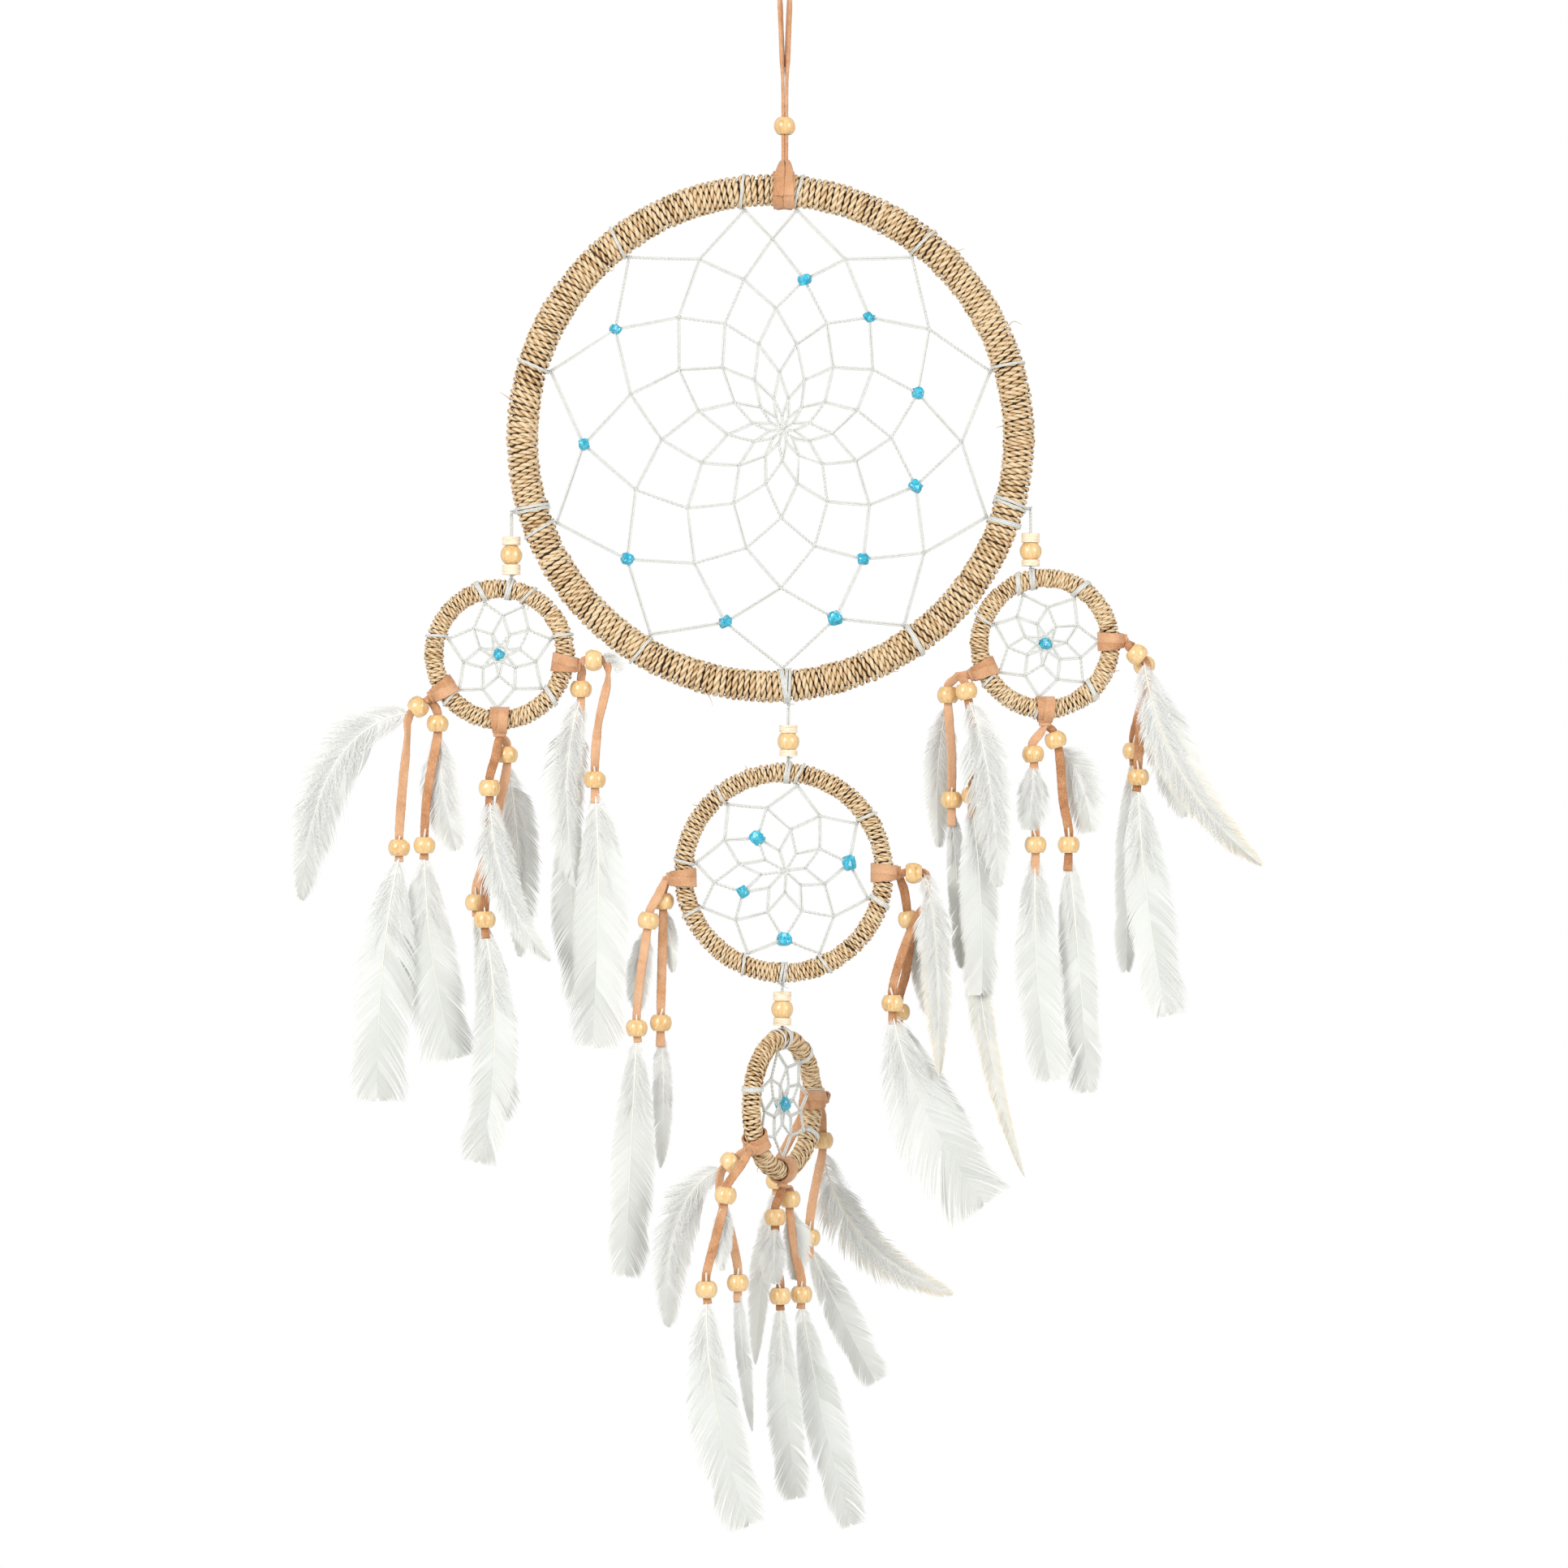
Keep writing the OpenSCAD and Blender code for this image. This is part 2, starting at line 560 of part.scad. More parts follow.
module right_inner_lace() pendant_lace(PENDANTS[5]);
module right_inner_beads() pendant_beads(PENDANTS[5]);
module right_inner_feathers() pendant_feathers(PENDANTS[5]);

module right_bottom_lace() pendant_lace(PENDANTS[6]);
module right_bottom_beads() pendant_beads(PENDANTS[6]);
module right_bottom_feathers() pendant_feathers(PENDANTS[6]);

module right_outer_lace() pendant_lace(PENDANTS[7]);
module right_outer_beads() pendant_beads(PENDANTS[7]);
module right_outer_feathers() pendant_feathers(PENDANTS[7]);

module lower_left_lace() pendant_lace(PENDANTS[8]);
module lower_left_beads() pendant_beads(PENDANTS[8]);
module lower_left_feathers() pendant_feathers(PENDANTS[8]);

module lower_bottom_lace() pendant_lace(PENDANTS[9]);
module lower_bottom_beads() pendant_beads(PENDANTS[9]);
module lower_bottom_feathers() pendant_feathers(PENDANTS[9]);

module lower_right_lace() pendant_lace(PENDANTS[10]);
module lower_right_beads() pendant_beads(PENDANTS[10]);
module lower_right_feathers() pendant_feathers(PENDANTS[10]);

hanger_lace();
hanger_bead();
main_ring();
main_wrap();
main_web();
main_stones();
left_link_beads();
left_ring();
left_wrap();
left_web();
left_stone();
right_link_beads();
right_ring();
right_wrap();
right_web();
right_stone();
middle_link_beads();
middle_ring();
middle_wrap();
middle_web();
middle_stones();
lower_link_beads();
lower_ring();
lower_wrap();
lower_web();
lower_stone();
left_outer_lace();
left_outer_beads();
left_outer_feathers();
left_bottom_lace();
left_bottom_beads();
left_bottom_feathers();
left_inner_lace();
left_inner_beads();
left_inner_feathers();
middle_left_lace();
middle_left_beads();
middle_left_feathers();
middle_right_lace();
middle_right_beads();
middle_right_feathers();
right_inner_lace();
right_inner_beads();
right_inner_feathers();
right_bottom_lace();
right_bottom_beads();
right_bottom_feathers();
right_outer_lace();
right_outer_beads();
right_outer_feathers();
lower_left_lace();
lower_left_beads();
lower_left_feathers();
lower_bottom_lace();
lower_bottom_beads();
lower_bottom_feathers();
lower_right_lace();
lower_right_beads();
lower_right_feathers();
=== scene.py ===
import json
import math

import bpy
import numpy as np
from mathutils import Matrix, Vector


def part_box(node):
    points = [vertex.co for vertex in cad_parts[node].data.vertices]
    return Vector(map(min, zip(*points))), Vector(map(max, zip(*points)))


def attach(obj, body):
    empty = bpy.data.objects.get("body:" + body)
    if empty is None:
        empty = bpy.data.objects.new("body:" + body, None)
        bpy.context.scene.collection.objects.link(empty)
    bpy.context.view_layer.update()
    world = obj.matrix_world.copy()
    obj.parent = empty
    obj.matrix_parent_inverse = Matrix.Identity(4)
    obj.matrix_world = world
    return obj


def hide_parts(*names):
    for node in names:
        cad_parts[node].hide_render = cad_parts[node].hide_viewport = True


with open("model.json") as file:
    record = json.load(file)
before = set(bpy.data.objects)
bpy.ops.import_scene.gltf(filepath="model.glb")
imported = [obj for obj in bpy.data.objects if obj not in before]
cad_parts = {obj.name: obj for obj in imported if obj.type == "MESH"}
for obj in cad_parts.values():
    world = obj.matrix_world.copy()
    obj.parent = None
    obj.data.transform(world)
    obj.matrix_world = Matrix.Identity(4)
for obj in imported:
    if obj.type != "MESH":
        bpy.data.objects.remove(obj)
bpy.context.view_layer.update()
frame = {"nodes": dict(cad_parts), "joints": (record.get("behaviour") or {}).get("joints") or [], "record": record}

MM = 0.001
RNG = np.random.default_rng(11)
TAU = 2 * math.pi
DOWN = np.array([0.0, 0.0, -1.0])
FRONT = np.array([0.0, -1.0, 0.0])

# ---- Measures shared with the CAD model, in millimetres ----

HOOPS = ["main", "left", "right", "middle", "lower"]
TURN = [0, 0, 0, 0, 62]
TURNS_OF_CORD = [268, 96, 96, 134, 96]
TIES = [
    [96.5, 83.4, 52, 17, -20, -54.5, -87, -121.5, -158.5, -197, -232],
    [106, 64, 16.5, -39, -92.5, -139, -197],
    [114, 57, 2.5, -45, -96.5, -148, -201.5],
    [81, 34, -17, -66, -114, -157, -186.5, -231],
    [101, 49, 8, -32, -90, -148, -196],
]
WEB_MIDDLE = [[5.3, 3.7], [-0.3, 0], [0, 0], [0.7, 1], [0, 0]]
SMALL_PULLS = [0.78, 0.62, 0.42]
MAIN_PULLS = [0.87, 0.83, 0.81, 0.75, 0.67, 0.58, 0.45]
PULLS = [MAIN_PULLS, SMALL_PULLS, SMALL_PULLS, [0.83, 0.7, 0.54], SMALL_PULLS]
CLOSED = [True, False, False, True, False]
LINKS = [["left", "main", 196.3, [4.2, 8, 3.4]], ["right", "main", -15.5, [2.6, 7, 3.9]],
         ["middle", "main", -86.2, [2.6, 7, 3.2]], ["lower", "middle", -90.7, [3.2, 7, 3.6]]]
PIVOT_RISE = 2.2
WRAP_GAP = 0.1
HITCH_R = 0.8
BEAD_H = 6.8
LACE_W = 3.8
LACE_T = 1.3
NAIL_R = 1.6
STRAND_T = 1.4
STRAND_W = 3.4
STRAND_MEET_Z = -46
NECK_Z = -79
BEAD_TRAVEL_TOP = -45

# Each pendant: hoop, band angle, tails and feathers, as in the CAD model
PENDANTS = {
    "left_outer": [1, 212,
     [[[-4, -1, -3], -50, [-12, -1, -62], 6], [[4, 1, -10], 0, [-1.5, 1, -61], 6]],
     [[0, 0, -3, [-42, -6], [-46, -78], 20, 0.5, 10], [1, 0, 3, [1, -25], [8, -49], 15, 0.6, -12],
      [0, 1, -2.6, [-10, -46], [-9, -101], 24, 0.85, 8], [1, 1, 2.6, [0, -47], [13, -85], 22, 0.85, 12]]],
    "left_bottom": [1, 270,
     [[[-4, -4, -22], 0, [-6, -4, -77], 8], [[3, 3, -8], 0, [-10, 3, -70], 6]],
     [[0, 0, -9.5, [3, -47], [26, -68], 14, 0.5, -6], [1, 0, 9, [6, -34], [5, -81], 14, 0.6, 8],
      [0, 1, -5.6, [10, -46], [-2, -97], 18, 0.85, -10], [1, 1, 4.6, [9, -36], [9, -87], 15, 0.85, -8]]],
    "left_inner": [1, -8,
     [[[5.5, -2, 2], 90, [6, -3, -48], 10], [[0, 3, -10], 0, [-4, 4, -56], 6]],
     [[0, 0, -3.8, [4, 3], [7, -5], 5, 0.7, 10], [1, 0, -1.5, [-10, -32], [-2, -79], 15, 0.5, 10],
      [0, 1, -4.6, [4, -40], [-1, -107], 22, 0.85, -8], [1, 1, 5.6, [-2, -35], [6, -83], 16, 0.85, -10]]],
    "middle_left": [3, 183,
     [[[-7, -3, -17], -8, [-12, -3, -62], 6], [[-1, 3, -9], 0, [-2, 3, -60], 10]],
     [[0, 0, -1, [-5, -15], [-5, -34], 10, 0.7, -10], [1, 0, 5, [4, -10], [4, -26], 6, 0.7, 0],
      [0, 1, -4.6, [-2, -42], [-5, -99], 17, 0.85, 8], [1, 1, 4.6, [2, -33], [0, -57], 8, 0.7, 12]]],
    "middle_right": [3, 0,
     [[[6, -2.5, 1.5], 90, [-3, -4.5, -53], 9], [[4, 3, -18], 10, [0, 4.5, -57], 6]],
     [[0, 0, -9, [7, -9], [7, -85], 12, 0.45, 8], [1, 0, 6.2, [6, -9], [8, -36], 12, 0.7, -10],
      [0, 1, -6.2, [7, -41], [39, -80], 29, 0.9, 10], [1, 1, 6.2, [8, -28], [28, -58], 18, 0.9, 8]]],
    "right_inner": [2, 203,
     [[[3.5, -2.8, -6.5], 12, [6, -2.5, -50], 14], [[-4, 3, -8], 0, [-2.5, 2.5, -52], 11]],
     [[0, 0, -8, [10, -23], [13, -78], 17, 0.5, -10], [1, 0, 8, [-6, -23], [-4, -60], 12, 0.6, 8],
      [0, 1, -4.2, [5, -44], [4, -79], 15, 0.8, 10], [1, 1, 4.2, [3, -32], [5, -66], 9, 0.8, 8],
      [0, 1, 0.2, [-3, -88], [22, -156], 10, 0.6, -6]]],
    "right_bottom": [2, 270,
     [[[-5, -1, -12], 5, [-4, -1, -50], 13], [[4.5, 1, -6], 18, [10, 1, -50], 11]],
     [[0, 0, -2.8, [-1, -17], [-2, -28], 12, 0.6, 8], [1, 0, 6.2, [11, -7], [14, -35], 15, 0.6, -8],
      [0, 1, -2.6, [-2, -50], [6, -94], 18, 0.85, -8], [1, 1, 2.6, [6, -51], [8, -99], 15, 0.85, -10]]],
    "right_outer": [2, 2,
     [[[4.5, -4, -5.5], 50, [5, -4, -57], 6], [[8, 4, -10], 20, [3.5, 4, -46], 6]],
     [[0, 0, -9.5, [7, -53], [49, -86], 16, 0.45, -8], [1, 0, 6, [9, -24], [16, -60], 16, 0.6, 8],
      [0, 1, -5.6, [2, -48], [12, -95], 19, 0.85, 8], [1, 1, 5.6, [-2, -49], [-3, -88], 10, 0.85, 12]]],
    "lower_left": [4, 212,
     [[[-10, -5, -18], -10, [-18, -5, -57], 6], [[-8, 4, -5], -50, [-5, 4, -55], 8]],
     [[0, 0, -3, [0, -12], [-1, -28], 8, 0.6, 10], [1, 0, 5.8, [-26, -9], [-24, -66], 16, 0.5, -8],
      [0, 1, -6.6, [-1, -44], [18, -93], 20, 0.85, 8], [1, 1, 5.8, [2, -32], [6, -58], 6, 0.7, 10]]],
    "lower_bottom": [4, 270,
     [[[-3, -4, -13], 0, [-1, -4, -46], 6], [[3, 4, -6], 0, [8, 4, -46], 6]],
     [[0, 0, -5.8, [-1, -12], [0, -24], 10, 0.6, 8], [1, 0, 5.8, [4, -14], [2, -30], 10, 0.6, -8],
      [0, 1, -5.8, [1, -38], [7, -80], 14, 0.9, 8], [1, 1, 5.8, [6, -45], [21, -93], 16, 0.9, 10]]],
    "lower_right": [4, 2,
     [[[1.5, 1, -16], 0, [-4, -2, -57], 10], [[-1, 6, 3], -90, [-18, 0, -33], 6]],
     [[0, 0, 3.8, [7, -45], [56, -62], 16, 0.45, 8], [0, 1, -4.6, [13, -30], [28, -57], 14, 0.85, 8],
      [1, 1, 1.6, [-7, -30], [-9, -74], 9, 0.7, 10]]],
}

RING_BOX = [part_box(h + "_ring") for h in HOOPS]
WRAP_BOX = [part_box(h + "_wrap") for h in HOOPS]
CENTRE = [np.array((lo + hi) / 2) / MM for lo, hi in RING_BOX]
TUBE = [float(hi.y - lo.y) / 2 / MM for lo, hi in WRAP_BOX[:4]]
TUBE.append(TUBE[1])
RADIUS = [float(hi.z - lo.z) / 2 / MM - t for (lo, hi), t in zip(WRAP_BOX, TUBE)]
JOINT = {j["name"]: j for j in frame["joints"]}
BODY_OF = {n: b for b, ns in frame["record"]["behaviour"]["bodies"].items() for n in ns}


def hoop_point(h, p, y=0.0):
    """A point in a hoop's own plane, as a place in the model."""
    a = math.radians(TURN[h])
    p = np.asarray(p, float)
    x, z = p[..., 0], p[..., 1]
    off = np.stack([x * math.cos(a) - y * math.sin(a), x * math.sin(a) + y * math.cos(a), z], -1)
    return CENTRE[h] + off


def polar(r, degrees):
    a = np.radians(degrees)
    return np.stack([r * np.cos(a), r * np.sin(a)], -1)


# The direction straight through each hoop, from front to back
AWAY = [hoop_point(h, [0, 0], 1.0) - CENTRE[h] for h in range(len(HOOPS))]


# ---- Camera, light and floor ----

FRAME_W = 0.6569
AIM = Vector((-0.00034, 0, -0.34034))
DISTANCE = 2.6
SENSOR = 36
FLOOR_Z = -1.25

scene = bpy.context.scene
camera = bpy.data.objects.new("camera", bpy.data.cameras.new("camera"))
scene.collection.objects.link(camera)
camera.location = AIM + Vector((0, -DISTANCE, 0))
camera.rotation_euler = (math.pi / 2, 0, 0)
camera.data.sensor_width = SENSOR
camera.data.lens = SENSOR * DISTANCE / FRAME_W
camera.data.clip_end = 60
scene.camera = camera
scene.view_settings.view_transform = "Standard"

world = bpy.data.worlds.new("studio")
scene.world = world
world.use_nodes = True
wt = world.node_tree
back = wt.nodes["Background"]
back.inputs["Color"].default_value = (1, 1, 1, 1)
back.inputs["Strength"].default_value = 0.62
seen = wt.nodes.new("ShaderNodeBackground")
seen.inputs["Color"].default_value = (1, 1, 1, 1)
ray = wt.nodes.new("ShaderNodeLightPath")
either = wt.nodes.new("ShaderNodeMixShader")
wt.links.new(ray.outputs["Is Camera Ray"], either.inputs[0])
wt.links.new(back.outputs[0], either.inputs[1])
wt.links.new(seen.outputs[0], either.inputs[2])
wt.links.new(either.outputs[0], wt.nodes["World Output"].inputs["Surface"])

for name, place, power, size in [
    ("left_softbox", (-1.15, -1.35, 0.25), 20.0, (0.7, 1.0)),
    ("right_softbox", (1.25, -1.25, 0.1), 13.5, (0.7, 1.0)),
    ("back_softbox", (0.3, 1.6, 0.5), 9.0, (1.0, 1.0)),
]:
    lamp = bpy.data.lights.new(name, "AREA")
    lamp.shape = "RECTANGLE"
    lamp.size, lamp.size_y = size
    lamp.energy = power
    o = bpy.data.objects.new(name, lamp)
    o.location = place
    o.rotation_euler = (AIM - Vector(place)).to_track_quat("-Z", "Y").to_euler()
    scene.collection.objects.link(o)


# ---- Materials ----


class Shader:
    """A material of one Principled shader, with its texture nodes."""

    def __init__(self, name, **sockets):
        self.made = bpy.data.materials.new(name)
        self.made.use_nodes = True
        self.tree = self.made.node_tree
        self.main = self.tree.nodes["Principled BSDF"]
        for key, value in sockets.items():
            self.main.inputs[key.replace("_", " ")].default_value = value

    def node(self, kind, inputs, **settings):
        n = self.tree.nodes.new("ShaderNode" + kind)
        for key, value in settings.items():
            setattr(n, key, value)
        for key, value in inputs.items():
            if isinstance(value, bpy.types.NodeSocket):
                self.tree.links.new(value, n.inputs[key])
            else:
                n.inputs[key].default_value = value
        return n

    def place(self, scale=(1000, 1000, 1000)):
        """Millimetres in the model's frame, scaled along each axis."""
        return self.scaled(self.node("TexCoord", {}).outputs["Object"], scale)

    def attribute(self, name, output="Fac"):
        return self.node("Attribute", {}, attribute_name=name).outputs[output]

    def strand(self, scale):
        """Millimetres along a strand, then across it."""
        return self.scaled(self.attribute("grain", "Vector"), scale)

    def scaled(self, vector, scale):
        return self.node("VectorMath", {0: vector, 1: scale}, operation="MULTIPLY").outputs[0]

    def noise(self, vector, scale, detail=3, rough=0.55, bend=0):
        inputs = {"Vector": vector, "Scale": scale, "Detail": detail, "Roughness": rough, "Distortion": bend}
        return self.node("TexNoise", inputs).outputs["Fac"]

    def math(self, kind, a, b=0.0, c=0.0):
        return self.node("Math", {0: a, 1: b, 2: c}, operation=kind).outputs[0]

    def ramp(self, value, stops):
        n = self.node("ValToRGB", {"Fac": value})
        while len(n.color_ramp.elements) < len(stops):
            n.color_ramp.elements.new(0.5)
        for e, (at, colour) in zip(n.color_ramp.elements, stops):
            e.position = at
            e.color = (*colour, 1)
        return n.outputs["Color"]

    def mix(self, share, a, b, kind="MIX"):
        n = self.node("Mix", {}, data_type="RGBA", blend_type=kind)
        for i, v in ((0, share), (6, a), (7, b)):
            if isinstance(v, bpy.types.NodeSocket):
                self.tree.links.new(v, n.inputs[i])
            else:
                n.inputs[i].default_value = v if i == 0 else (*v, 1)
        return n.outputs[2]

    def range(self, value, low, high):
        return self.node("MapRange", {"Value": value, "To Min": low, "To Max": high}).outputs[0]

    def bump(self, *heights):
        last = None
        for height, strength, distance in heights:
            inputs = {"Height": height, "Strength": strength, "Distance": distance}
            if last is not None:
                inputs["Normal"] = last
            last = self.node("Bump", inputs).outputs[0]
        self.tree.links.new(last, self.main.inputs["Normal"])

    def feed(self, socket, value):
        self.tree.links.new(value, self.main.inputs[socket])

    def look(self, colour, rough_by, low, high):
        self.feed("Base Color", colour)
        self.feed("Roughness", self.range(rough_by, low, high))


def seagrass():
    s = Shader("seagrass_cord", Roughness=0.6, Specular_IOR_Level=0.3)
    fibre = s.noise(s.strand((0.22, 2.6, 2.6)), 1.3, 4, 0.6)
    patch = s.noise(s.place(), 0.16, 3)
    # The shade attribute carries each turn's own tone plus painted shade in the crevices between plies and painted
    # light on the ply tops; the near-black end of the ramp is that painted crevice shade
    value = s.math("MULTIPLY_ADD", fibre, 0.5, s.math("MULTIPLY", s.attribute("shade"), 0.66))
    value = s.math("ADD", value, s.range(patch, -0.12, 0.12))
    colour = s.ramp(value, [(0.16, (0.02, 0.008, 0.003)), (0.34, (0.26, 0.135, 0.05)),
                            (0.48, (0.53, 0.33, 0.15)), (0.64, (0.69, 0.485, 0.27)),
                            (0.9, (0.83, 0.66, 0.43))])
    s.look(colour, fibre, 0.42, 0.78)
    s.bump((s.noise(s.strand((0.25, 4.5, 4.5)), 1.5, 3), 0.8, 0.0003))
    return s.made


def cane():
    # The core's dark brown is its cane colour darkened further into painted shade, for where it shows in the gaps
    # between the winding's turns
    s = Shader("cane_core_painted_shade", Roughness=0.6)
    fibre = s.noise(s.place((300, 300, 300)), 2.0, 5, 0.7)
    s.look(s.ramp(fibre, [(0.3, (0.05, 0.024, 0.009)), (0.7, (0.16, 0.085, 0.035))]), fibre, 0.5, 0.8)
    s.bump((fibre, 0.4, 0.0003))
    return s.made


def thread():
    s = Shader("web_thread", Roughness=0.75, Sheen_Weight=0.15, Specular_IOR_Level=0.25)
    xyz = s.node("SeparateXYZ", {0: s.attribute("grain", "Vector")})
    around = s.math("ARCTAN2", xyz.outputs[2], xyz.outputs[1])
    lay = s.math("SINE", s.math("MULTIPLY_ADD", xyz.outputs[0], 7.5, around))
    worn = s.noise(s.place(), 0.8, 3)
    colour = s.ramp(worn, [(0.3, (0.66, 0.67, 0.63)), (0.65, (0.78, 0.785, 0.755))])
    # The grey mixed in where the twist wave is low is painted shade in the grooves between the thread's plies
    s.look(s.mix(s.range(lay, 0.14, 0.0), colour, (0.42, 0.43, 0.38)), worn, 0.65, 0.85)
    s.bump((lay, 0.5, 0.00012))
    return s.made


def turquoise():
    s = Shader("turquoise_stone", Coat_Weight=0.7, Coat_Roughness=0.06, IOR=1.6)
    at = s.place()
    cloud = s.noise(at, 0.55, 4, 0.6, 0.4)
    vein = s.math("ABSOLUTE", s.math("SUBTRACT", s.noise(at, 0.34, 5, 0.62, 1.2), 0.5))
    body = s.ramp(cloud, [(0.3, (0.003, 0.27, 0.44)), (0.5, (0.008, 0.47, 0.67)),
                          (0.72, (0.09, 0.67, 0.80))])
    dark = s.ramp(vein, [(0.0, (0.0, 0.0, 0.0)), (0.035, (1, 1, 1))])
    s.look(s.mix(s.range(dark, 0.75, 0.0), body, (0.006, 0.07, 0.11)), cloud, 0.16, 0.34)
    s.bump((cloud, 0.25, 0.0004), (vein, 0.3, 0.0003))
    return s.made


def bead_wood(name="bead_wood", disc_between=None):
    """Wood with its grain along the bore, lacquered, or only between two heights and bare outside them."""
    s = Shader(name, Coat_Roughness=0.07)
    grain = s.noise(s.place((1000, 1000, 130)), 1.15, 5, 0.6, 0.5)
    fine = s.noise(s.place((1000, 1000, 60)), 4.2, 3, 0.6)
    tone = s.noise(s.place(), 0.09, 2)
    value = s.math("MULTIPLY_ADD", grain, 0.7, s.math("MULTIPLY", fine, 0.3))
    value = s.math("ADD", value, s.range(tone, -0.2, 0.2))
    lacquered = s.ramp(value, [(0.3, (0.56, 0.31, 0.10)), (0.47, (0.79, 0.51, 0.215)),
                               (0.68, (0.90, 0.67, 0.35))])
    if disc_between is None:
        s.look(lacquered, fine, 0.24, 0.4)
        s.main.inputs["Coat Weight"].default_value = 0.85
        s.bump((fine, 0.12, 0.0002))
        return s.made
    z = s.node("SeparateXYZ", {0: s.place()}).outputs[2]
    middle, half = (disc_between[0] + disc_between[1]) / 2, (disc_between[1] - disc_between[0]) / 2
    inside = s.math("LESS_THAN", s.math("ABSOLUTE", s.math("SUBTRACT", z, middle)), half)
    layers = s.noise(s.place((180, 180, 1000)), 1.6, 4, 0.65, 0.3)
    bare = s.ramp(layers, [(0.3, (0.66, 0.47, 0.29)), (0.48, (0.86, 0.72, 0.53)),
                           (0.7, (0.93, 0.83, 0.67))])
    s.look(s.mix(inside, bare, lacquered), inside, 0.75, 0.3)
    s.feed("Coat Weight", s.math("MULTIPLY", inside, 0.85))
    s.bump((layers, 0.35, 0.0003))
    return s.made


def suede():
    s = Shader("suede_lace", Roughness=0.92, Sheen_Weight=0.35, Sheen_Roughness=0.4, Specular_IOR_Level=0.2)
    blotch = s.noise(s.place(), 0.13, 4, 0.6, 0.6)
    nap = s.noise(s.strand((1.3, 2.4, 2.4)), 1.7, 4, 0.7)
    fine = s.noise(s.place(), 3.2, 2, 0.7)
    value = s.math("MULTIPLY_ADD", nap, 0.9, s.math("MULTIPLY_ADD", fine, 0.6, -0.25))
    value = s.math("ADD", value, s.range(blotch, -0.3, 0.3))
    value = s.math("ADD", value, s.math("MULTIPLY_ADD", s.attribute("shade"), 0.44, -0.22))
    colour = s.ramp(value, [(0.22, (0.36, 0.15, 0.062)), (0.45, (0.60, 0.31, 0.155)),
                            (0.75, (0.77, 0.47, 0.285))])
    s.look(colour, nap, 0.82, 1.0)
    s.bump((fine, 0.5, 0.00018), (nap, 0.5, 0.0003))
    return s.made


def plume(name, white, shadow, cream, rough):
    s = Shader(name, Roughness=rough, Sheen_Weight=0.2, Sheen_Roughness=0.5, Specular_IOR_Level=0.25)
    cloud = s.noise(s.place(), 0.09, 3)
    streak = s.noise(s.strand((0.06, 1.6, 1.6)), 1.0, 3, 0.6)
    value = s.math("MULTIPLY_ADD", streak, 0.5, s.math("MULTIPLY", s.attribute("shade"), 0.5))
    colour = s.ramp(value, [(0.2, shadow), (0.7, white)])
    tint = s.math("MULTIPLY", s.attribute("tint"), s.range(cloud, 0.4, 1.2))
    s.look(s.mix(tint, colour, cream), streak, rough - 0.1, rough + 0.1)
    return s.made


SEAGRASS, CANE, THREAD, TURQUOISE = seagrass(), cane(), thread(), turquoise()
BEAD, SUEDE = bead_wood(), suede()
VANE = plume("feather_vane", (0.82, 0.83, 0.80), (0.66, 0.67, 0.635), (0.80, 0.69, 0.48), 0.55)
DOWN_FLUFF = plume("feather_down", (0.88, 0.88, 0.86), (0.78, 0.785, 0.755), (0.84, 0.76, 0.6), 0.85)
QUILL = plume("feather_quill", (0.86, 0.84, 0.77), (0.78, 0.75, 0.66), (0.74, 0.6, 0.38), 0.4)


# ---- Mesh making ----


def unit(v):
    return v / np.maximum(np.linalg.norm(v, axis=-1, keepdims=True), 1e-12)


def frames(c):
    """Tangent and two side directions along many lines of points (m, s, 3), without twist."""
    t = unit(np.gradient(c, axis=1))
    n = np.zeros_like(t)
    aim = np.where(np.abs(t[:, 0, 1:2]) < 0.8, [[0.0, 1.0, 0.0]], [[1.0, 0.0, 0.0]])
    for j in range(c.shape[1]):
        n[:, j] = unit(aim - (aim * t[:, j]).sum(-1, keepdims=True) * t[:, j])
        aim = n[:, j]
    return t, n, np.cross(t, n)


def along(c):
    d = np.linalg.norm(np.diff(c, axis=1), axis=-1)
    return np.concatenate([np.zeros((len(c), 1)), np.cumsum(d, 1)], 1)


def spline(points, count):
    """A smooth line through the points, evenly spaced."""
    p = np.asarray(points, float)
    ext = np.vstack([2 * p[0] - p[1], p, 2 * p[-1] - p[-2]])
    d = np.sqrt(np.maximum(np.linalg.norm(np.diff(ext, axis=0), axis=1), 1e-6))
    knots = np.concatenate([[0], np.cumsum(d)])
    out = []
    for i in range(1, len(ext) - 2):
        t = np.linspace(knots[i], knots[i + 1], 24, endpoint=False)[:, None]
        k, q = knots[i - 1:i + 3], ext[i - 1:i + 3]
        a = [((k[j + 1] - t) * q[j] + (t - k[j]) * q[j + 1]) / (k[j + 1] - k[j]) for j in range(3)]
        b = [((k[j + 2] - t) * a[j] + (t - k[j]) * a[j + 1]) / (k[j + 2] - k[j]) for j in range(2)]
        out.append(((k[2] - t) * b[0] + (t - k[1]) * b[1]) / (k[2] - k[1]))
    line = np.vstack(out + [p[-1:]])
    s = np.concatenate([[0], np.cumsum(np.linalg.norm(np.diff(line, axis=0), axis=1))])
    at = np.linspace(0, s[-1], count)
    return np.stack([np.interp(at, s, line[:, i]) for i in range(3)], -1)


def wander(rng, count, step, size):
    """Smooth random values, one for each of count places, that change over about step places."""
    knots = rng.normal(0, size, int(count / step) + 3)
    x = np.arange(count) / step
    i = x.astype(int)
    f = x - i
    f = f * f * (3 - 2 * f)
    return knots[i] * (1 - f) + knots[i + 1] * f


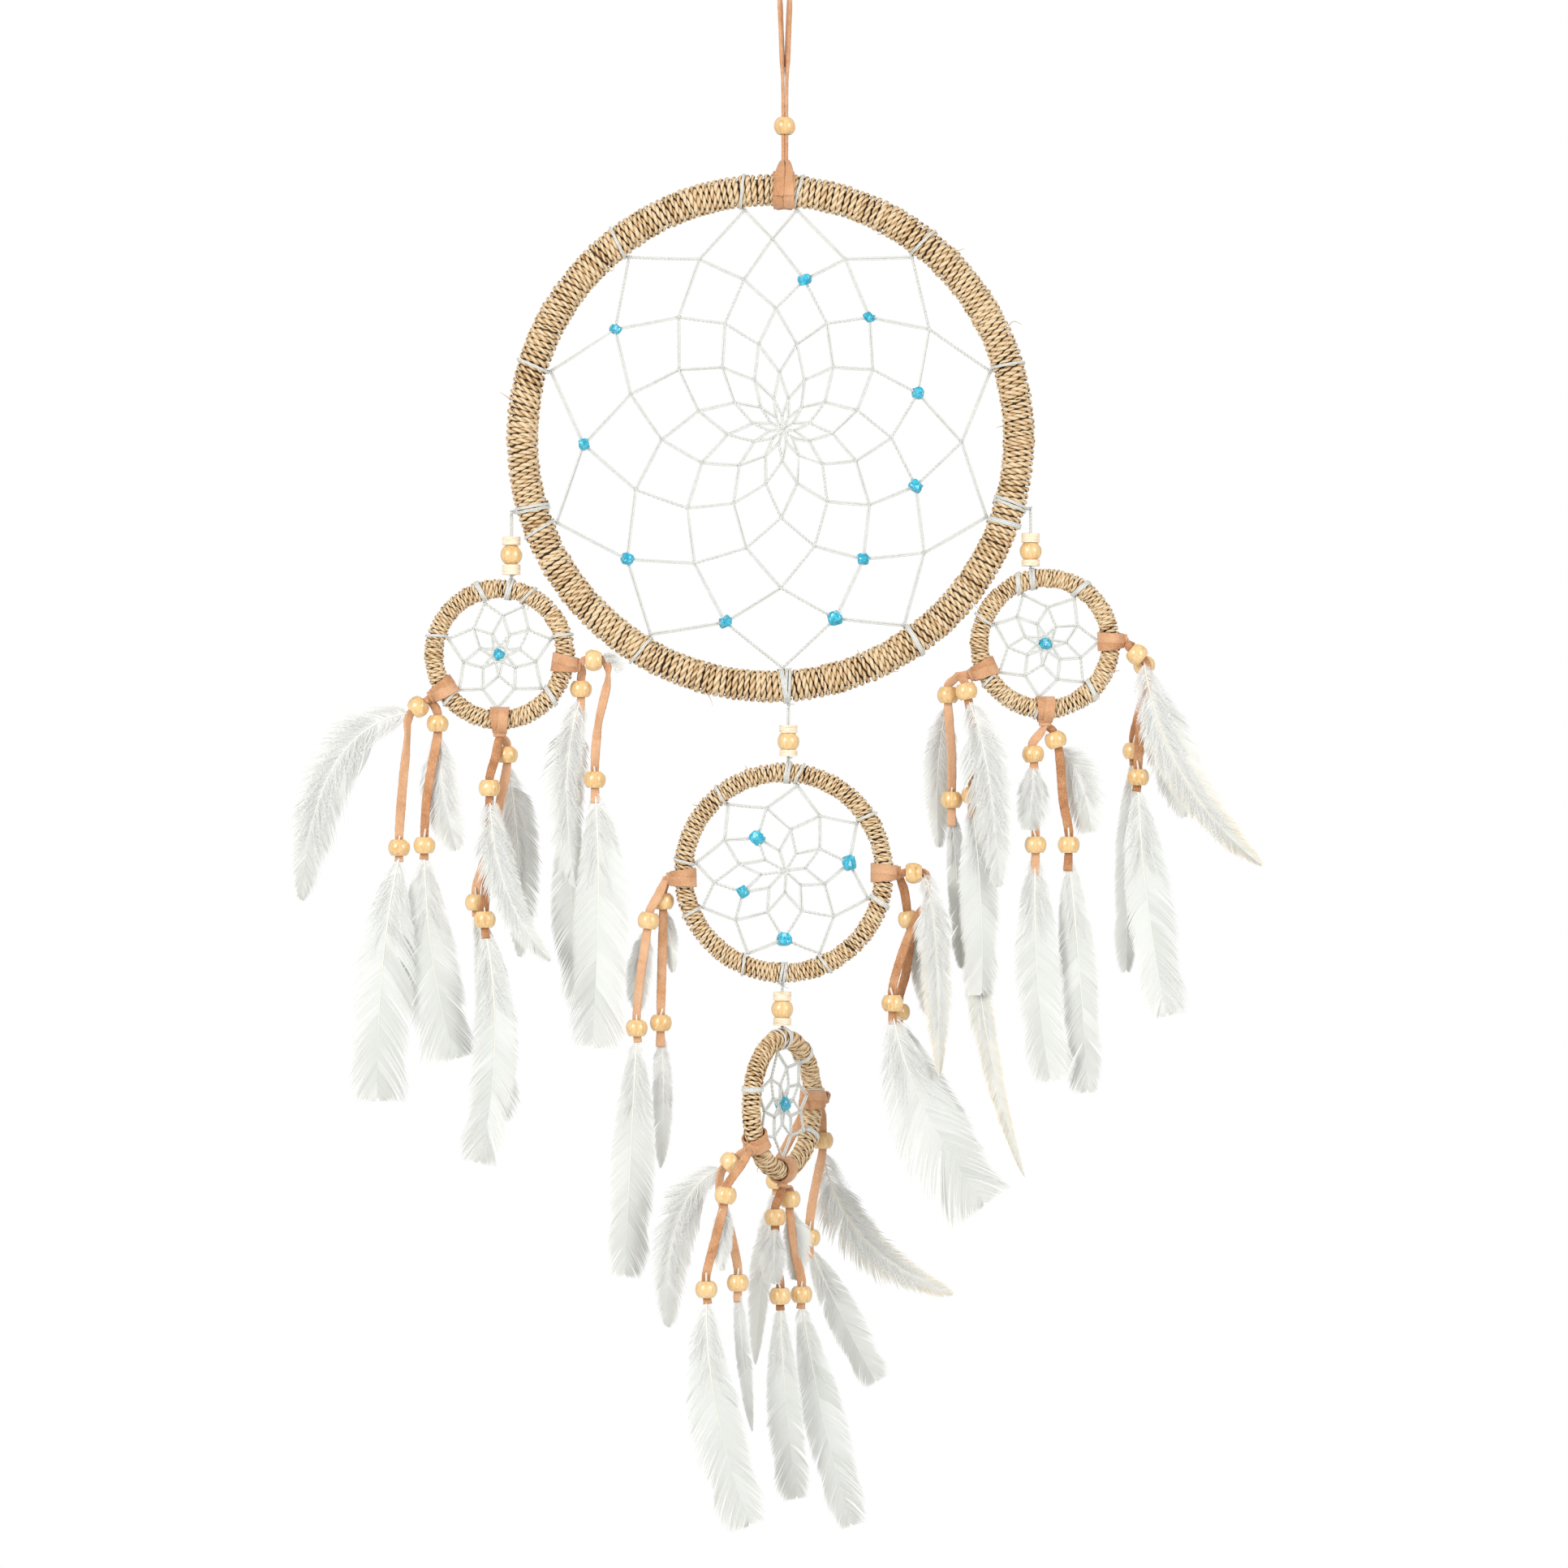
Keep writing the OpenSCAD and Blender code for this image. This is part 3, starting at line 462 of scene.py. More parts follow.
class Piece:
    """Gathers tubes, ribbons and straps in millimetres, then becomes one object."""

    def __init__(self, name, *materials):
        self.name, self.materials = name, materials
        self.v, self.f, self.kind, self.data, self.n = [], [], [], [], 0

    def grid(self, v, grain, shade, tint=0.0, closed=True, material=0):
        """v is (m, s, k, 3): m pieces of s rings with k points each."""
        m, s, k = v.shape[:3]
        index = self.n + np.arange(m * s * k).reshape(m, s, k)
        nxt = np.roll(index, -1, 2) if closed else index[:, :, 1:]
        cur = index if closed else index[:, :, :-1]
        quads = np.stack([cur[:, :-1], nxt[:, :-1], nxt[:, 1:], cur[:, 1:]], -1).reshape(-1, 4)
        self.f += quads.tolist()
        count = len(quads)
        if closed:
            for ends in (index[:, 0, ::-1], index[:, -1]):
                self.f += ends.tolist()
                count += m
        self.kind += [material] * count
        self.v.append(v.reshape(-1, 3))
        shade = np.broadcast_to(np.asarray(shade, float), (m, s, k)) if np.ndim(shade) != 1 else \
            np.broadcast_to(np.asarray(shade, float)[:, None, None], (m, s, k))
        tint = np.broadcast_to(np.asarray(tint, float), (m, s, k))
        self.data.append((grain.reshape(-1, 3), shade.reshape(-1), tint.reshape(-1)))
        self.n += m * s * k

    def tubes(self, c, radius, sides=6, shade=0.5, tint=0.0, material=0):
        """Round strands along the lines c (m, s, 3)."""
        c = np.asarray(c, float)
        m, s = c.shape[:2]
        t, n, b = frames(c)
        a = np.arange(sides) * TAU / sides
        r = np.broadcast_to(np.asarray(radius, float), (m, s))[..., None]
        x, y = r * np.cos(a), r * np.sin(a)
        v = c[:, :, None] + x[..., None] * n[:, :, None] + y[..., None] * b[:, :, None]
        u = along(c) + 37.0 * np.arange(m)[:, None]
        grain = np.stack([np.broadcast_to(u[..., None], x.shape), x, y], -1)
        self.grid(v, grain, shade, tint, True, material)

    def ribbons(self, c, across, shade=0.5, tint=0.0, material=0):
        """Paper-thin strips along c (m, s, 3); across (m, s, 3) is half their width."""
        v = np.stack([c - across, c + across], 2)
        u = along(c) + 11.0 * np.arange(len(c))[:, None]
        w = np.linalg.norm(across, axis=-1)
        grain = np.stack([np.stack([u, -w, 0 * w], -1), np.stack([u, w, 0 * w], -1)], 2)
        self.grid(v, grain, shade, tint, False, material)

    def strap(self, c, across, width, thick, shade, rough):
        """A flat lace with rounded edges along one line c (s, 3); across is its width direction."""
        c = np.asarray(c, float)
        s = len(c)
        t = unit(np.gradient(c, axis=0))
        side = unit(across - (across * t).sum(-1, keepdims=True) * t)
        out = np.cross(side, t)
        edge = np.array([0.5, 0.86, 1.0, 1.0, 1.0, 1.0, 0.86, 0.5]) * 0.5
        spot = np.array([-1.0, -0.94, -0.78, -0.3, 0.3, 0.78, 0.94, 1.0]) * 0.5
        px = np.concatenate([spot, spot[::-1]])
        py = np.concatenate([edge, -edge[::-1]])
        width = np.broadcast_to(np.asarray(width, float), (s,))
        thick = np.broadcast_to(np.asarray(thick, float), (s,))
        k = len(px)
        bumps = 1 + rough * RNG.normal(0, 1, (s, k))
        x = width[:, None] * px * (1 + 0.35 * (bumps - 1))
        y = thick[:, None] * py * bumps
        v = c[:, None] + x[..., None] * side[:, None] + y[..., None] * out[:, None]
        u = along(c[None])[0]
        grain = np.stack([np.broadcast_to(u[:, None], (s, k)), x, y], -1)
        self.grid(v[None], grain[None], shade)

    def finish(self, body, replaces=()):
        me = bpy.data.meshes.new(self.name)
        v = np.vstack(self.v) * MM
        me.from_pydata(v, [], self.f)
        me.polygons.foreach_set("material_index", np.array(self.kind, np.int32))
        me.polygons.foreach_set("use_smooth", np.full(len(self.f), True))
        grain = np.vstack([d[0] for d in self.data]).astype(np.float32)
        me.attributes.new("grain", "FLOAT_VECTOR", "POINT").data.foreach_set("vector", grain.ravel())
        for name, i in (("shade", 1), ("tint", 2)):
            value = np.concatenate([d[i] for d in self.data]).astype(np.float32)
            me.attributes.new(name, "FLOAT", "POINT").data.foreach_set("value", value)
        for m in self.materials:
            me.materials.append(m)
        me.update()
        o = bpy.data.objects.new(self.name, me)
        scene.collection.objects.link(o)
        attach(o, body)
        if replaces:
            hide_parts(*replaces)
        return o


def twisted(c, r, period, phase):
    """The two plies of a twisted cord round the line c (s, 3)."""
    c = np.asarray(c, float)[None]
    t, n, b = frames(c)
    a = (along(c) / period * TAU + phase)[..., None]
    off = r * (np.cos(a) * n + np.sin(a) * b)
    return np.concatenate([c + off, c - off])


def finish_cad(node, material):
    o = frame["nodes"][node]
    o.data.materials.clear()
    o.data.materials.append(material)
    return o


# ---- Cane cores, windings and webs ----

for h in HOOPS:
    finish_cad(h + "_ring", CANE)

# Winding cord: half a ply's width and thickness, how far the plies pass sideways and outwards, their period
CORD_SIZE_MAIN = (0.80, 0.48, 0.56, 0.44, 7.8)
CORD_SIZE_SMALL = (0.62, 0.36, 0.46, 0.34, 6.6)
# No loose end stands out this near, in radians, to the hanger's band on the main hoop
STRAW_FREE = 0.12


def straws(piece, h, count, longest):
    """Loose ends of seagrass that stand out of a winding."""
    for _ in range(count):
        a, b = RNG.uniform(0, TAU), RNG.uniform(0, TAU)
        size = RNG.uniform(0.35, 1.0) * longest
        radial = np.array([math.cos(a), math.sin(a)])
        start = radial * (RADIUS[h] + (TUBE[h] - 0.6) * math.cos(b))
        y = -(TUBE[h] - 0.6) * math.sin(b)
        way = radial * math.cos(b) + np.array([-radial[1], radial[0]]) * RNG.uniform(-1.2, 1.2)
        p0 = hoop_point(h, start, y)
        out = hoop_point(h, start + way, y - math.sin(b)) - p0
        curl = RNG.normal(0, 0.35, 3)
        line = spline([p0, p0 + unit(out) * size * 0.5, p0 + unit(unit(out) + curl) * size], 7)
        thick, tone = RNG.uniform(0.6, 1.3), RNG.uniform(0.3, 0.9)
        if h > 0 or abs(a - math.pi / 2) > STRAW_FREE:
            piece.tubes(line[None], np.linspace(0.2, 0.07, 7) * thick, 4, tone)


def wind(h):
    """The seagrass cord wound round a hoop: two flat plies that pass over each other."""
    turns, pieces = TURNS_OF_CORD[h], 4 if h == 0 else 2 if h == 3 else 1
    size = CORD_SIZE_MAIN if h == 0 else CORD_SIZE_SMALL
    wide, thick, sway, rise, period = size
    depth = TUBE[h] - thick - rise - 0.05
    step = 44 if h == 0 else 30
    total = turns * step
    turn = np.arange(total + 1) / step
    lean = wander(RNG, total + 1, step * 14, 0.3)
    crowd = wander(RNG, total + 1, step * 5, 0.22) + wander(RNG, total + 1, step * 1.3, 0.08)
    crowd -= np.linspace(crowd[0], crowd[-1], total + 1)
    lift = np.clip(wander(RNG, total + 1, step * 0.9, 0.13), -0.15, 0.3)
    psi = TAU * turn
    phi = TAU * (turn + crowd + lean * np.cos(psi) * 1.5 * TUBE[h] / 6.9) / turns
    if h == 0:
        # The hoop turns inside the hanger's band, so its winding is even there
        lift *= 1 - np.exp(-((phi % TAU - math.pi / 2) / 0.08) ** 2)
    rho = depth + lift
    away = AWAY[h]
    radial = hoop_point(h, polar(1.0, np.degrees(phi))) - CENTRE[h]
    out = unit(np.cos(psi)[:, None] * radial + np.sin(psi)[:, None] * away)
    line = CENTRE[h] + RADIUS[h] * radial + rho[:, None] * out
    t = unit(np.gradient(line, axis=0))
    side = unit(np.cross(t, out))
    lay = along(line[None])[0] / period * TAU + wander(RNG, total + 1, 60, 0.9)
    fat = 1 + wander(RNG, total + 1, 9, 0.13)
    tone = np.clip(0.52 + np.repeat(RNG.normal(0, 0.12, turns + 1), step)[:total + 1], 0.2, 0.9)
    ring = np.arange(8) * TAU / 8
    plies = []
    for start in (0, math.pi):
        a = lay + start
        centre = line + (rise * np.cos(a))[:, None] * out + (sway * np.sin(a))[:, None] * side
        tip = (0.75 * np.sin(a))[:, None]
        flat_out = np.cos(tip) * out + np.sin(tip) * side
        flat_side = np.cos(tip) * side - np.sin(tip) * out
        x = wide * fat[:, None] * np.cos(ring)
        y = thick * fat[:, None] * np.sin(ring)
        v = centre[:, None] + x[..., None] * flat_side[:, None] + y[..., None] * flat_out[:, None]
        # Painted shade and light on the plies: darker at their side edges, where the plies meet, and on their
        # faces towards the hoop; lighter on their outer faces and where a ply rides outward
        high = 0.3 * np.cos(a)[:, None] + 0.26 * np.sin(ring)[None] - 0.5 * np.abs(np.cos(ring))[None] ** 4
        grain = np.stack([np.broadcast_to(lay[:, None] * period / TAU + 500 * start, x.shape), x, y], -1)
        plies.append((v, grain, tone[:, None] + high + (0.05 if start else -0.05)))
    ends = np.linspace(0, total, pieces + 1).astype(int)
    for i in range(pieces):
        name = HOOPS[h] + "_cord" + (f"_{i + 1}" if pieces > 1 else "")
        p = Piece(name, SEAGRASS)
        cut = slice(ends[i], ends[i + 1] + 1)
        for v, grain, shade in plies:
            p.grid(v[None, cut], grain[None, cut], np.clip(shade[None, cut], 0, 1.1))
        straws(p, h, 9 if h == 0 else 5, 7 if h == 0 else 4)
        p.finish(BODY_OF[HOOPS[h] + "_wrap"], [HOOPS[h] + "_wrap"])


def web_rows(h):
    rows = [polar(RADIUS[h] - TUBE[h] - HITCH_R - WRAP_GAP, np.array(TIES[h]))]
    m = np.array(WEB_MIDDLE[h])
    for pull in PULLS[h]:
        last = rows[-1]
        rows.append(m + pull * ((last + np.roll(last, -1, 0)) / 2 - m))
    return rows


THREAD_R = 0.36
ROPE_PERIOD = 3.6
ROPE_SHARE = 0.3


def string(piece, a, b, sag=0.0, bend=0.0):
    """A doubled thread from a to b, its strands side by side or twisted like a rope."""
    roped = RNG.uniform() < ROPE_SHARE
    n = max(8, int(np.linalg.norm(b - a) / (0.45 if roped else 1.6)))
    s = np.linspace(0, 1, n)[:, None]
    line = a + s * (b - a) + 4 * s * (1 - s) * (sag * DOWN + bend * FRONT)
    if roped:
        strands = twisted(line, THREAD_R * 0.92, ROPE_PERIOD * RNG.uniform(0.85, 1.2), RNG.uniform(0, TAU))
    else:
        side = unit(np.cross(b - a, FRONT))
        turn = RNG.normal(0, 0.35) + s * RNG.normal(0, 0.5)
        spread = THREAD_R * (0.96 + 0.12 * np.sin(math.pi * s))
        off = spread * (np.cos(turn) * side + np.sin(turn) * FRONT)
        strands = np.stack([line + off, line - off])
    piece.tubes(strands, THREAD_R, 7, RNG.uniform(0.3, 0.8))


TIE_R = 0.28
HITCH_THREAD_R = 0.26


def hitch(piece, p, axis, h, size=0.62, turns=1.7):
    """Thread passed round another thread where they cross."""
    away = AWAY[h]
    t = unit(axis)
    side = np.cross(t, away)
    n = int(14 * turns)
    a = np.linspace(0, TAU * turns, n)[:, None] + RNG.uniform(0, TAU)
    rise = np.linspace(-0.32, 0.32, n)[:, None] * turns
    line = p + size * (np.cos(a) * away + np.sin(a) * side) + rise * t
    piece.tubes(line[None], HITCH_THREAD_R, 6, RNG.uniform(0.4, 0.8))


def tangent_at(h, phi):
    """The direction along a hoop at the given angles."""
    return hoop_point(h, np.stack([-np.sin(phi), np.cos(phi)], -1)) - CENTRE[h]


def tie(piece, h, angle, loops=2, lean=None, spread=0.9):
    """Thread passed round the winding of a hoop at one angle."""
    lean = RNG.choice([-1, 1]) * RNG.uniform(0.5, 1.5) if lean is None else lean
    n = 34 * loops
    psi = np.linspace(0, TAU * loops, n)
    rho = TUBE[h] + 0.28 + 0.06 * np.sin(psi * 3 + angle)
    shift = spread * (psi / (TAU * loops) - 0.5) * loops + lean * np.cos(psi)
    phi = math.radians(angle) + shift / RADIUS[h]
    radial = RADIUS[h] - rho * np.cos(psi)
    away = AWAY[h]
    line = hoop_point(h, np.stack([radial * np.cos(phi), radial * np.sin(phi)], -1))
    line = line + (rho * np.sin(psi))[:, None] * away
    both = np.stack([line + shift_by * TIE_R * tangent_at(h, phi) for shift_by in (-1, 1)])
    piece.tubes(both, TIE_R * 1.04, 7, RNG.uniform(0.5, 0.9))


def fray(piece, p, way, length, count=3):
    """A cut end of thread with its strands coming apart."""
    for _ in range(count):
        way = np.asarray(way, float)
        end = p + unit(unit(way) + RNG.normal(0, 0.22, 3)) * length * RNG.uniform(0.7, 1.0)
        mid = (p + end) / 2 + RNG.normal(0, length * 0.12, 3)
        piece.tubes(spline([p, mid, end], 8)[None], np.linspace(0.16, 0.07, 8), 5, 0.7)


KNOT_ROOM = 0.85


def pivot(link):
    h = HOOPS.index(link[1])
    return hoop_point(h, polar(RADIUS[h] + TUBE[h] + PIVOT_RISE, link[2]))


def weave(h):
    piece = Piece(HOOPS[h] + "_threads", THREAD)
    rows = web_rows(h)
    n = len(TIES[h])
    last = len(rows) - 1
    m = np.array(WEB_MIDDLE[h])
    place = lambda p, y=0.0: hoop_point(h, p, y)
    for r in range(1, last + 1):
        for k in range(n):
            outer = rows[r - 1][(k + 1) % n]
            for side in (rows[r][k], rows[r][(k + 1) % n]):
                jitter = RNG.normal(0, 0.25)
                string(piece, place(outer), place(side), 0.12 + 0.1 * abs(jitter), jitter * 0.4)
            if r < last:
                hitch(piece, place(rows[r][k]), place(rows[r][k]) - place(m), h, 0.56 if r > 2 else 0.62)
    for k in range(n):
        a, b = rows[last][k], rows[last][(k + 1) % n]
        if CLOSED[h]:
            string(piece, place(a), place(m + RNG.normal(0, 0.3, 2), RNG.normal(0, 0.3)))
        else:
            string(piece, place(a), place(b))
            hitch(piece, place(a), place(a) - place(m), h, 0.56)
    if CLOSED[h]:
        for i in range(3):
            a = np.linspace(0, TAU * 1.3, 22) + RNG.uniform(0, TAU)
            ring = polar(0.9 + 0.4 * i, np.degrees(a)) + m
            piece.tubes((place(ring) + RNG.normal(0, 0.08, (22, 3)))[None], 0.22, 6, 0.6)
    for angle, p in zip(TIES[h], rows[0]):
        tie(piece, h, angle, 2 if RNG.uniform() < 0.25 else 1)
        hitch(piece, place(p), place(p) - place(m), h, 0.6, 2.2)
    for link in LINKS:
        if link[1] == HOOPS[h]:
            tie(piece, h, link[2], 2, 0.5, 1.5)
            knot = pivot(link)
            near = hoop_point(h, polar(RADIUS[h] + TUBE[h] + 0.2, link[2]))
            string(piece, near, knot - KNOT_ROOM * DOWN)
            hitch(piece, knot - (KNOT_ROOM + 0.3) * DOWN, DOWN, h, 0.5, 1.4)
            aside = 1.0 if link[0] != "right" else -1.0
            fray(piece, knot - (KNOT_ROOM + 0.2) * DOWN, [aside, -0.7, 0.15], 3.6)
        if link[0] == HOOPS[h]:
            knot = pivot(link)
            side = math.pi / 2
            if TURN[h] == 0:
                side = math.acos((knot[0] - CENTRE[h][0]) / (RADIUS[h] + TUBE[h] + 0.5))
            foot = hoop_point(h, polar(RADIUS[h] + TUBE[h] + 0.25, math.degrees(side)))
            foot[:2] = knot[:2]
            hitch(piece, knot, DOWN, h, 0.4, 1.2)
            string(piece, knot + 0.3 * DOWN, foot)
            tie(piece, h, math.degrees(side), 2, 0.3, 1.2)
            fray(piece, foot - 1.2 * DOWN, np.array([1.0, -0.6, 0.6]), 3.0)
    return piece.finish(BODY_OF[HOOPS[h] + "_web"], [HOOPS[h] + "_web"])


for h in range(len(HOOPS)):
    wind(h)
    weave(h)


# ---- Hanger ----


def hanger():
    body = BODY_OF["hanger_lace"]
    top = NAIL_R + STRAND_T / 2
    low = NECK_Z - 3
    gap = STRAND_T / 2 + 0.03
    half = [[gap, 0, low], [gap, 0, -62], [gap + 0.12, 0, STRAND_MEET_Z], [gap + 0.55, 0, -32],
            [top - 0.3, 0, -12], [top, 0, -NAIL_R - 0.3]]
    turn = np.linspace(0.35, math.pi - 0.35, 5)
    arc = [[top * math.cos(a), 0, -NAIL_R + top * math.sin(a)] for a in turn]
    other = [[-x, y, z] for x, y, z in half[::-1]]
    line = spline(half + arc + other, 150)
    line[:, 1] += wander(RNG, 150, 20, 0.12)
    p = Piece("hanger_loop", SUEDE)
    # Above the bead's travel the strands are turned a little and form a V that is open to the front
    above = np.clip((line[:, 2] - BEAD_TRAVEL_TOP) / 8, 0, 1)
    turned = np.sign(line[:, 0]) * 0.42 * above * np.clip(-(line[:, 2] + 4) / 10, 0, 1)
    turned += wander(RNG, 150, 25, 0.04) * above
    across = np.tile([0.0, 1.0, 0.0], (150, 1)) - turned[:, None] * np.array([1.0, 0, 0])
    width = STRAND_W * (0.9 + 0.1 * above)
    p.strap(line, across, width, STRAND_T, 0.5, 0.04)
    loop = p.finish(body, ["hanger_lace"])

    # The loop's two strands pass round the hoop side by side and through themselves
    band = Piece("hanger_band", SUEDE)
    hinge = np.array(JOINT["main_hoop_swing"]["pos_m"]) / MM
    r = TUBE[0] + 0.75
    for sign in (-1, 1):
        psi = np.linspace(-0.42 * math.pi, 1.42 * math.pi, 54)
        shift = sign * (1.15 + 1.15 * np.sin(np.clip((psi + 1.3) / 1.9, 0, math.pi / 2)))
        dip = 0.35 * np.exp(-((np.cos(psi) + 1) / 0.3) ** 2)
        c = np.stack([hinge[0] - 0.4 + shift + 0.25 * np.sin(3 * psi), (r + dip) * np.cos(psi),
                      hinge[2] + (r + dip) * np.sin(psi)], -1)
        keep = c[:, 2] < hinge[2] + r * 0.93
        across = np.tile([1.0, 0, 0], (54, 1)) + sign * 0.12 * np.sin(psi)[:, None] * np.array([0, 0, 1.0])
        width = np.full(54, 4.3) + wander(RNG, 54, 8, 0.12)
        band.strap(c[keep], across[keep], width[keep], 1.05, 0.45 + 0.1 * sign, 0.06)
        for face in (-1, 1):
            up = spline([[sign * (gap + 0.35), face * 0.9, NECK_Z - 0.6],
                         [sign * (gap + 0.75), face * 2.6, NECK_Z - 2.2],
                         [hinge[0] - 0.3 + sign * 1.8, face * 5.7, hinge[2] + r * 0.86],
                         [hinge[0] - 0.4 + sign * 1.95, face * (r + 0.4), hinge[2] + 1.5],
                         [hinge[0] - 0.4 + sign * 2.2, face * (r + 0.4), hinge[2] - 3.0]], 26)
            lean = np.linspace(0.9, 0, 26)[:, None] * np.array([0, 0.5 * face, 0.0])
            lie = np.tile([1.0, 0.0, 0.0], (26, 1)) + lean
            wide = np.interp(np.linspace(0, 1, 26), [0, 0.35, 1], [1.9, 4.1, 4.3])
            band.strap(up, lie, wide, 1.0, 0.5, 0.05)
    band.finish(body)


NUGGET = bpy.data.textures.new("nugget", "CLOUDS")
NUGGET.noise_scale = 3.2 * MM


STONE_VOXEL = 0.26 * MM
STONE_RELIEF = 1.3 * MM


def soften(o):
    """Rounds a stone's edges and makes its faces uneven, around the CAD solid."""
    m = o.modifiers.new("voxels", "REMESH")
    m.mode = "VOXEL"
    m.voxel_size = STONE_VOXEL
    m.use_smooth_shade = True
    m = o.modifiers.new("nugget", "DISPLACE")
    m.texture = NUGGET
    m.texture_coords = "LOCAL"
    m.strength = STONE_RELIEF
    m = o.modifiers.new("polish", "SMOOTH")
    m.factor = 0.5
    m.iterations = 5


# ---- Pendants ----


def bore(tilt):
    """The directions along and across the bore of a tilted bead."""
    a = math.radians(tilt)
    return np.array([-math.sin(a), 0, math.cos(a)]), np.array([math.cos(a), 0, math.sin(a)])


def lace_tail(name, i, knot, tail, body):
    upper, lower = knot + tail[0], knot + tail[2]
    up, cross0 = bore(tail[1])
    enter, leave = upper + (BEAD_H / 2 + 0.8) * up, upper - (BEAD_H / 2 + 0.8) * up
    sideways = abs(tail[1]) > 40
    start = knot + np.array([0, 0.5 * np.sign(tail[0][1]), 0])
    mid = leave * 0.45 + lower * 0.55
    bow = RNG.normal(0, 0.8, 2)
    via = [start]
    if sideways and np.linalg.norm(enter - start) > 5:
        via.append((start + enter) / 2 + 2.4 * up)
    elif np.linalg.norm(enter - start) > 5:
        via.append((start + enter) / 2 + np.array([0.5, 0.3 * np.sign(tail[0][1]), 0.4]))
    via += [enter, upper, leave]
    if sideways:
        via.append(leave - 1.6 * up + 2.6 * DOWN)
        via.append(leave - 1.7 * up + 8 * DOWN)
    via += [mid + np.array([bow[0], bow[1] * 0.6, 0]), lower + np.array([0, 0, BEAD_H / 2 + 2.5]), lower,
            lower + np.array([RNG.normal(0, 0.25), RNG.normal(0, 0.2), -tail[3]])]
    n = 76
    line = spline(via, n)
    near = lambda p: np.exp(-(np.linalg.norm(line - p, axis=1) / 5.5) ** 2)
    pinched = near(upper) + near(lower)
    start_w = np.exp(-(np.linalg.norm(line - knot, axis=1) / 3.0) ** 2)
    twist = wander(RNG, n, 20, 0.35) * (1 - np.clip(pinched, 0, 1)) + start_w * RNG.uniform(0.2, 0.9)
    blend = np.clip(np.linspace(0, 1, n) * 4 - 1, 0, 1)[:, None]
    level = np.array([1.0 if cross0[0] >= 0 else -1.0, 0, 0])
    if sideways:
        cross0 = np.array([0, 1.0, 0]) * (-1 if tail[1] > 0 else 1) * 0.3 + cross0
    across = unit(cross0 * (1 - blend) + level * blend)
    t = unit(np.gradient(line, axis=0))
    across = unit(across - (across * t).sum(-1, keepdims=True) * t)
    other = np.cross(t, across)
    across = across * np.cos(twist)[:, None] + other * np.sin(twist)[:, None]
    width = LACE_W * (1 - 0.14 * np.clip(pinched, 0, 1)) * (1 - 0.25 * start_w) + wander(RNG, n, 5, 0.06)
    p = Piece(f"{name}_tail_{i + 1}", SUEDE)
    p.strap(line, across, width, LACE_T * 0.92, RNG.uniform(0.1, 0.9), 0.07)
    o = p.finish(body, [name + "_lace"])


def lace_band(name, h, angle, knot):
    """Lace passed twice round the hoop, with its loop over the two strands that leave it."""
    p = Piece(name + "_band", SUEDE)
    away = AWAY[h]
    r = TUBE[h] + 0.85
    radial = hoop_point(h, polar(1.0, angle)) - CENTRE[h]
    tangent = hoop_point(h, polar(1.0, angle + 90)) - CENTRE[h]
    centre = hoop_point(h, polar(RADIUS[h], angle))
    slant = RNG.normal(0, 0.2)
    for sign in (-1, 1):
        psi = np.linspace(0.06 * math.pi, 1.94 * math.pi, 46)
        gather = 0.5 + 0.5 * np.cos(psi)
        shift = sign * (1.95 - 1.0 * gather) + slant * np.sin(psi)
        rr = r + 0.35 * (sign > 0) * gather + wander(RNG, 46, 7, 0.07)
        c = centre + (rr * np.cos(psi))[:, None] * radial + (rr * np.sin(psi))[:, None] * away
        c = c + shift[:, None] * tangent
        across = np.tile(tangent, (46, 1)) + (sign * 0.25 * np.sin(psi))[:, None] * radial
        p.strap(c, across, 4.2 + wander(RNG, 46, 6, 0.12), 1.0, 0.5 + 0.12 * sign, 0.06)
    out = centre + (r + 0.3) * radial
    reach = knot - out
    for sign in (-1, 1):
        a = centre + (r - 0.1) * radial * 0.96 + sign * 2.0 * away * 1.4 + sign * 0.5 * tangent
        line = spline([a, out + 0.35 * radial + sign * 0.75 * away,
                       knot + sign * 0.5 * away - 0.1 * unit(reach),
                       knot + unit(reach) + sign * 0.4 * away], 20)
        p.strap(line, np.tile(tangent, (20, 1)), np.linspace(4.0, 2.9, 20), 1.0, 0.5, 0.05)
    loop = []
    for a in np.linspace(0, TAU, 22):
        loop.append(out + 0.55 * radial + 2.25 * math.sin(a) * tangent + 1.5 * math.cos(a) * away)
    p.strap(np.array(loop), np.tile(radial, (22, 1)) + 0.1 * tangent, 2.4, 0.9, 0.6, 0.05)
    p.finish(BODY_OF[name + "_lace"], [name + "_lace"])


def quill_line(start, feather, drop_y, count):
    """Centre line of a feather's shaft: out of the bead, then along its bend, in its own turned plane."""
    bend, tip, turn = np.array(feather[3], float), np.array(feather[4], float), math.radians(feather[7])
    t = np.linspace(0, 1, count)[:, None]
    q = 2 * t * (1 - t) * bend + t * t * tip
    x, z = q[:, 0], q[:, 1]
    d = 2 * (1 - 2 * t) * bend + 2 * t * tip
    settle = np.clip(t[:, 0] / 0.2, 0, 1)
    settle = settle * settle * (3 - 2 * settle)
    y = drop_y * (1 - settle)
    line = np.stack([x * math.cos(turn), x * math.sin(turn) + y, z], -1)
    side = unit(np.stack([-d[:, 1], d[:, 0]], -1))
    side = np.stack([side[:, 0] * math.cos(turn), side[:, 0] * math.sin(turn), side[:, 1]], -1)
    return start + line, side


def summed(v, du):
    """Running integral of each row."""
    return np.concatenate([np.zeros((len(v), 1)), np.cumsum((v[:, 1:] + v[:, :-1]) / 2 * du, 1)], 1)


BARB_STEP = 0.42
BARB_WIDTH = 0.92 * BARB_STEP
SHAFT_SHARE = 0.0046
TIP_FULLNESS = 1.9475


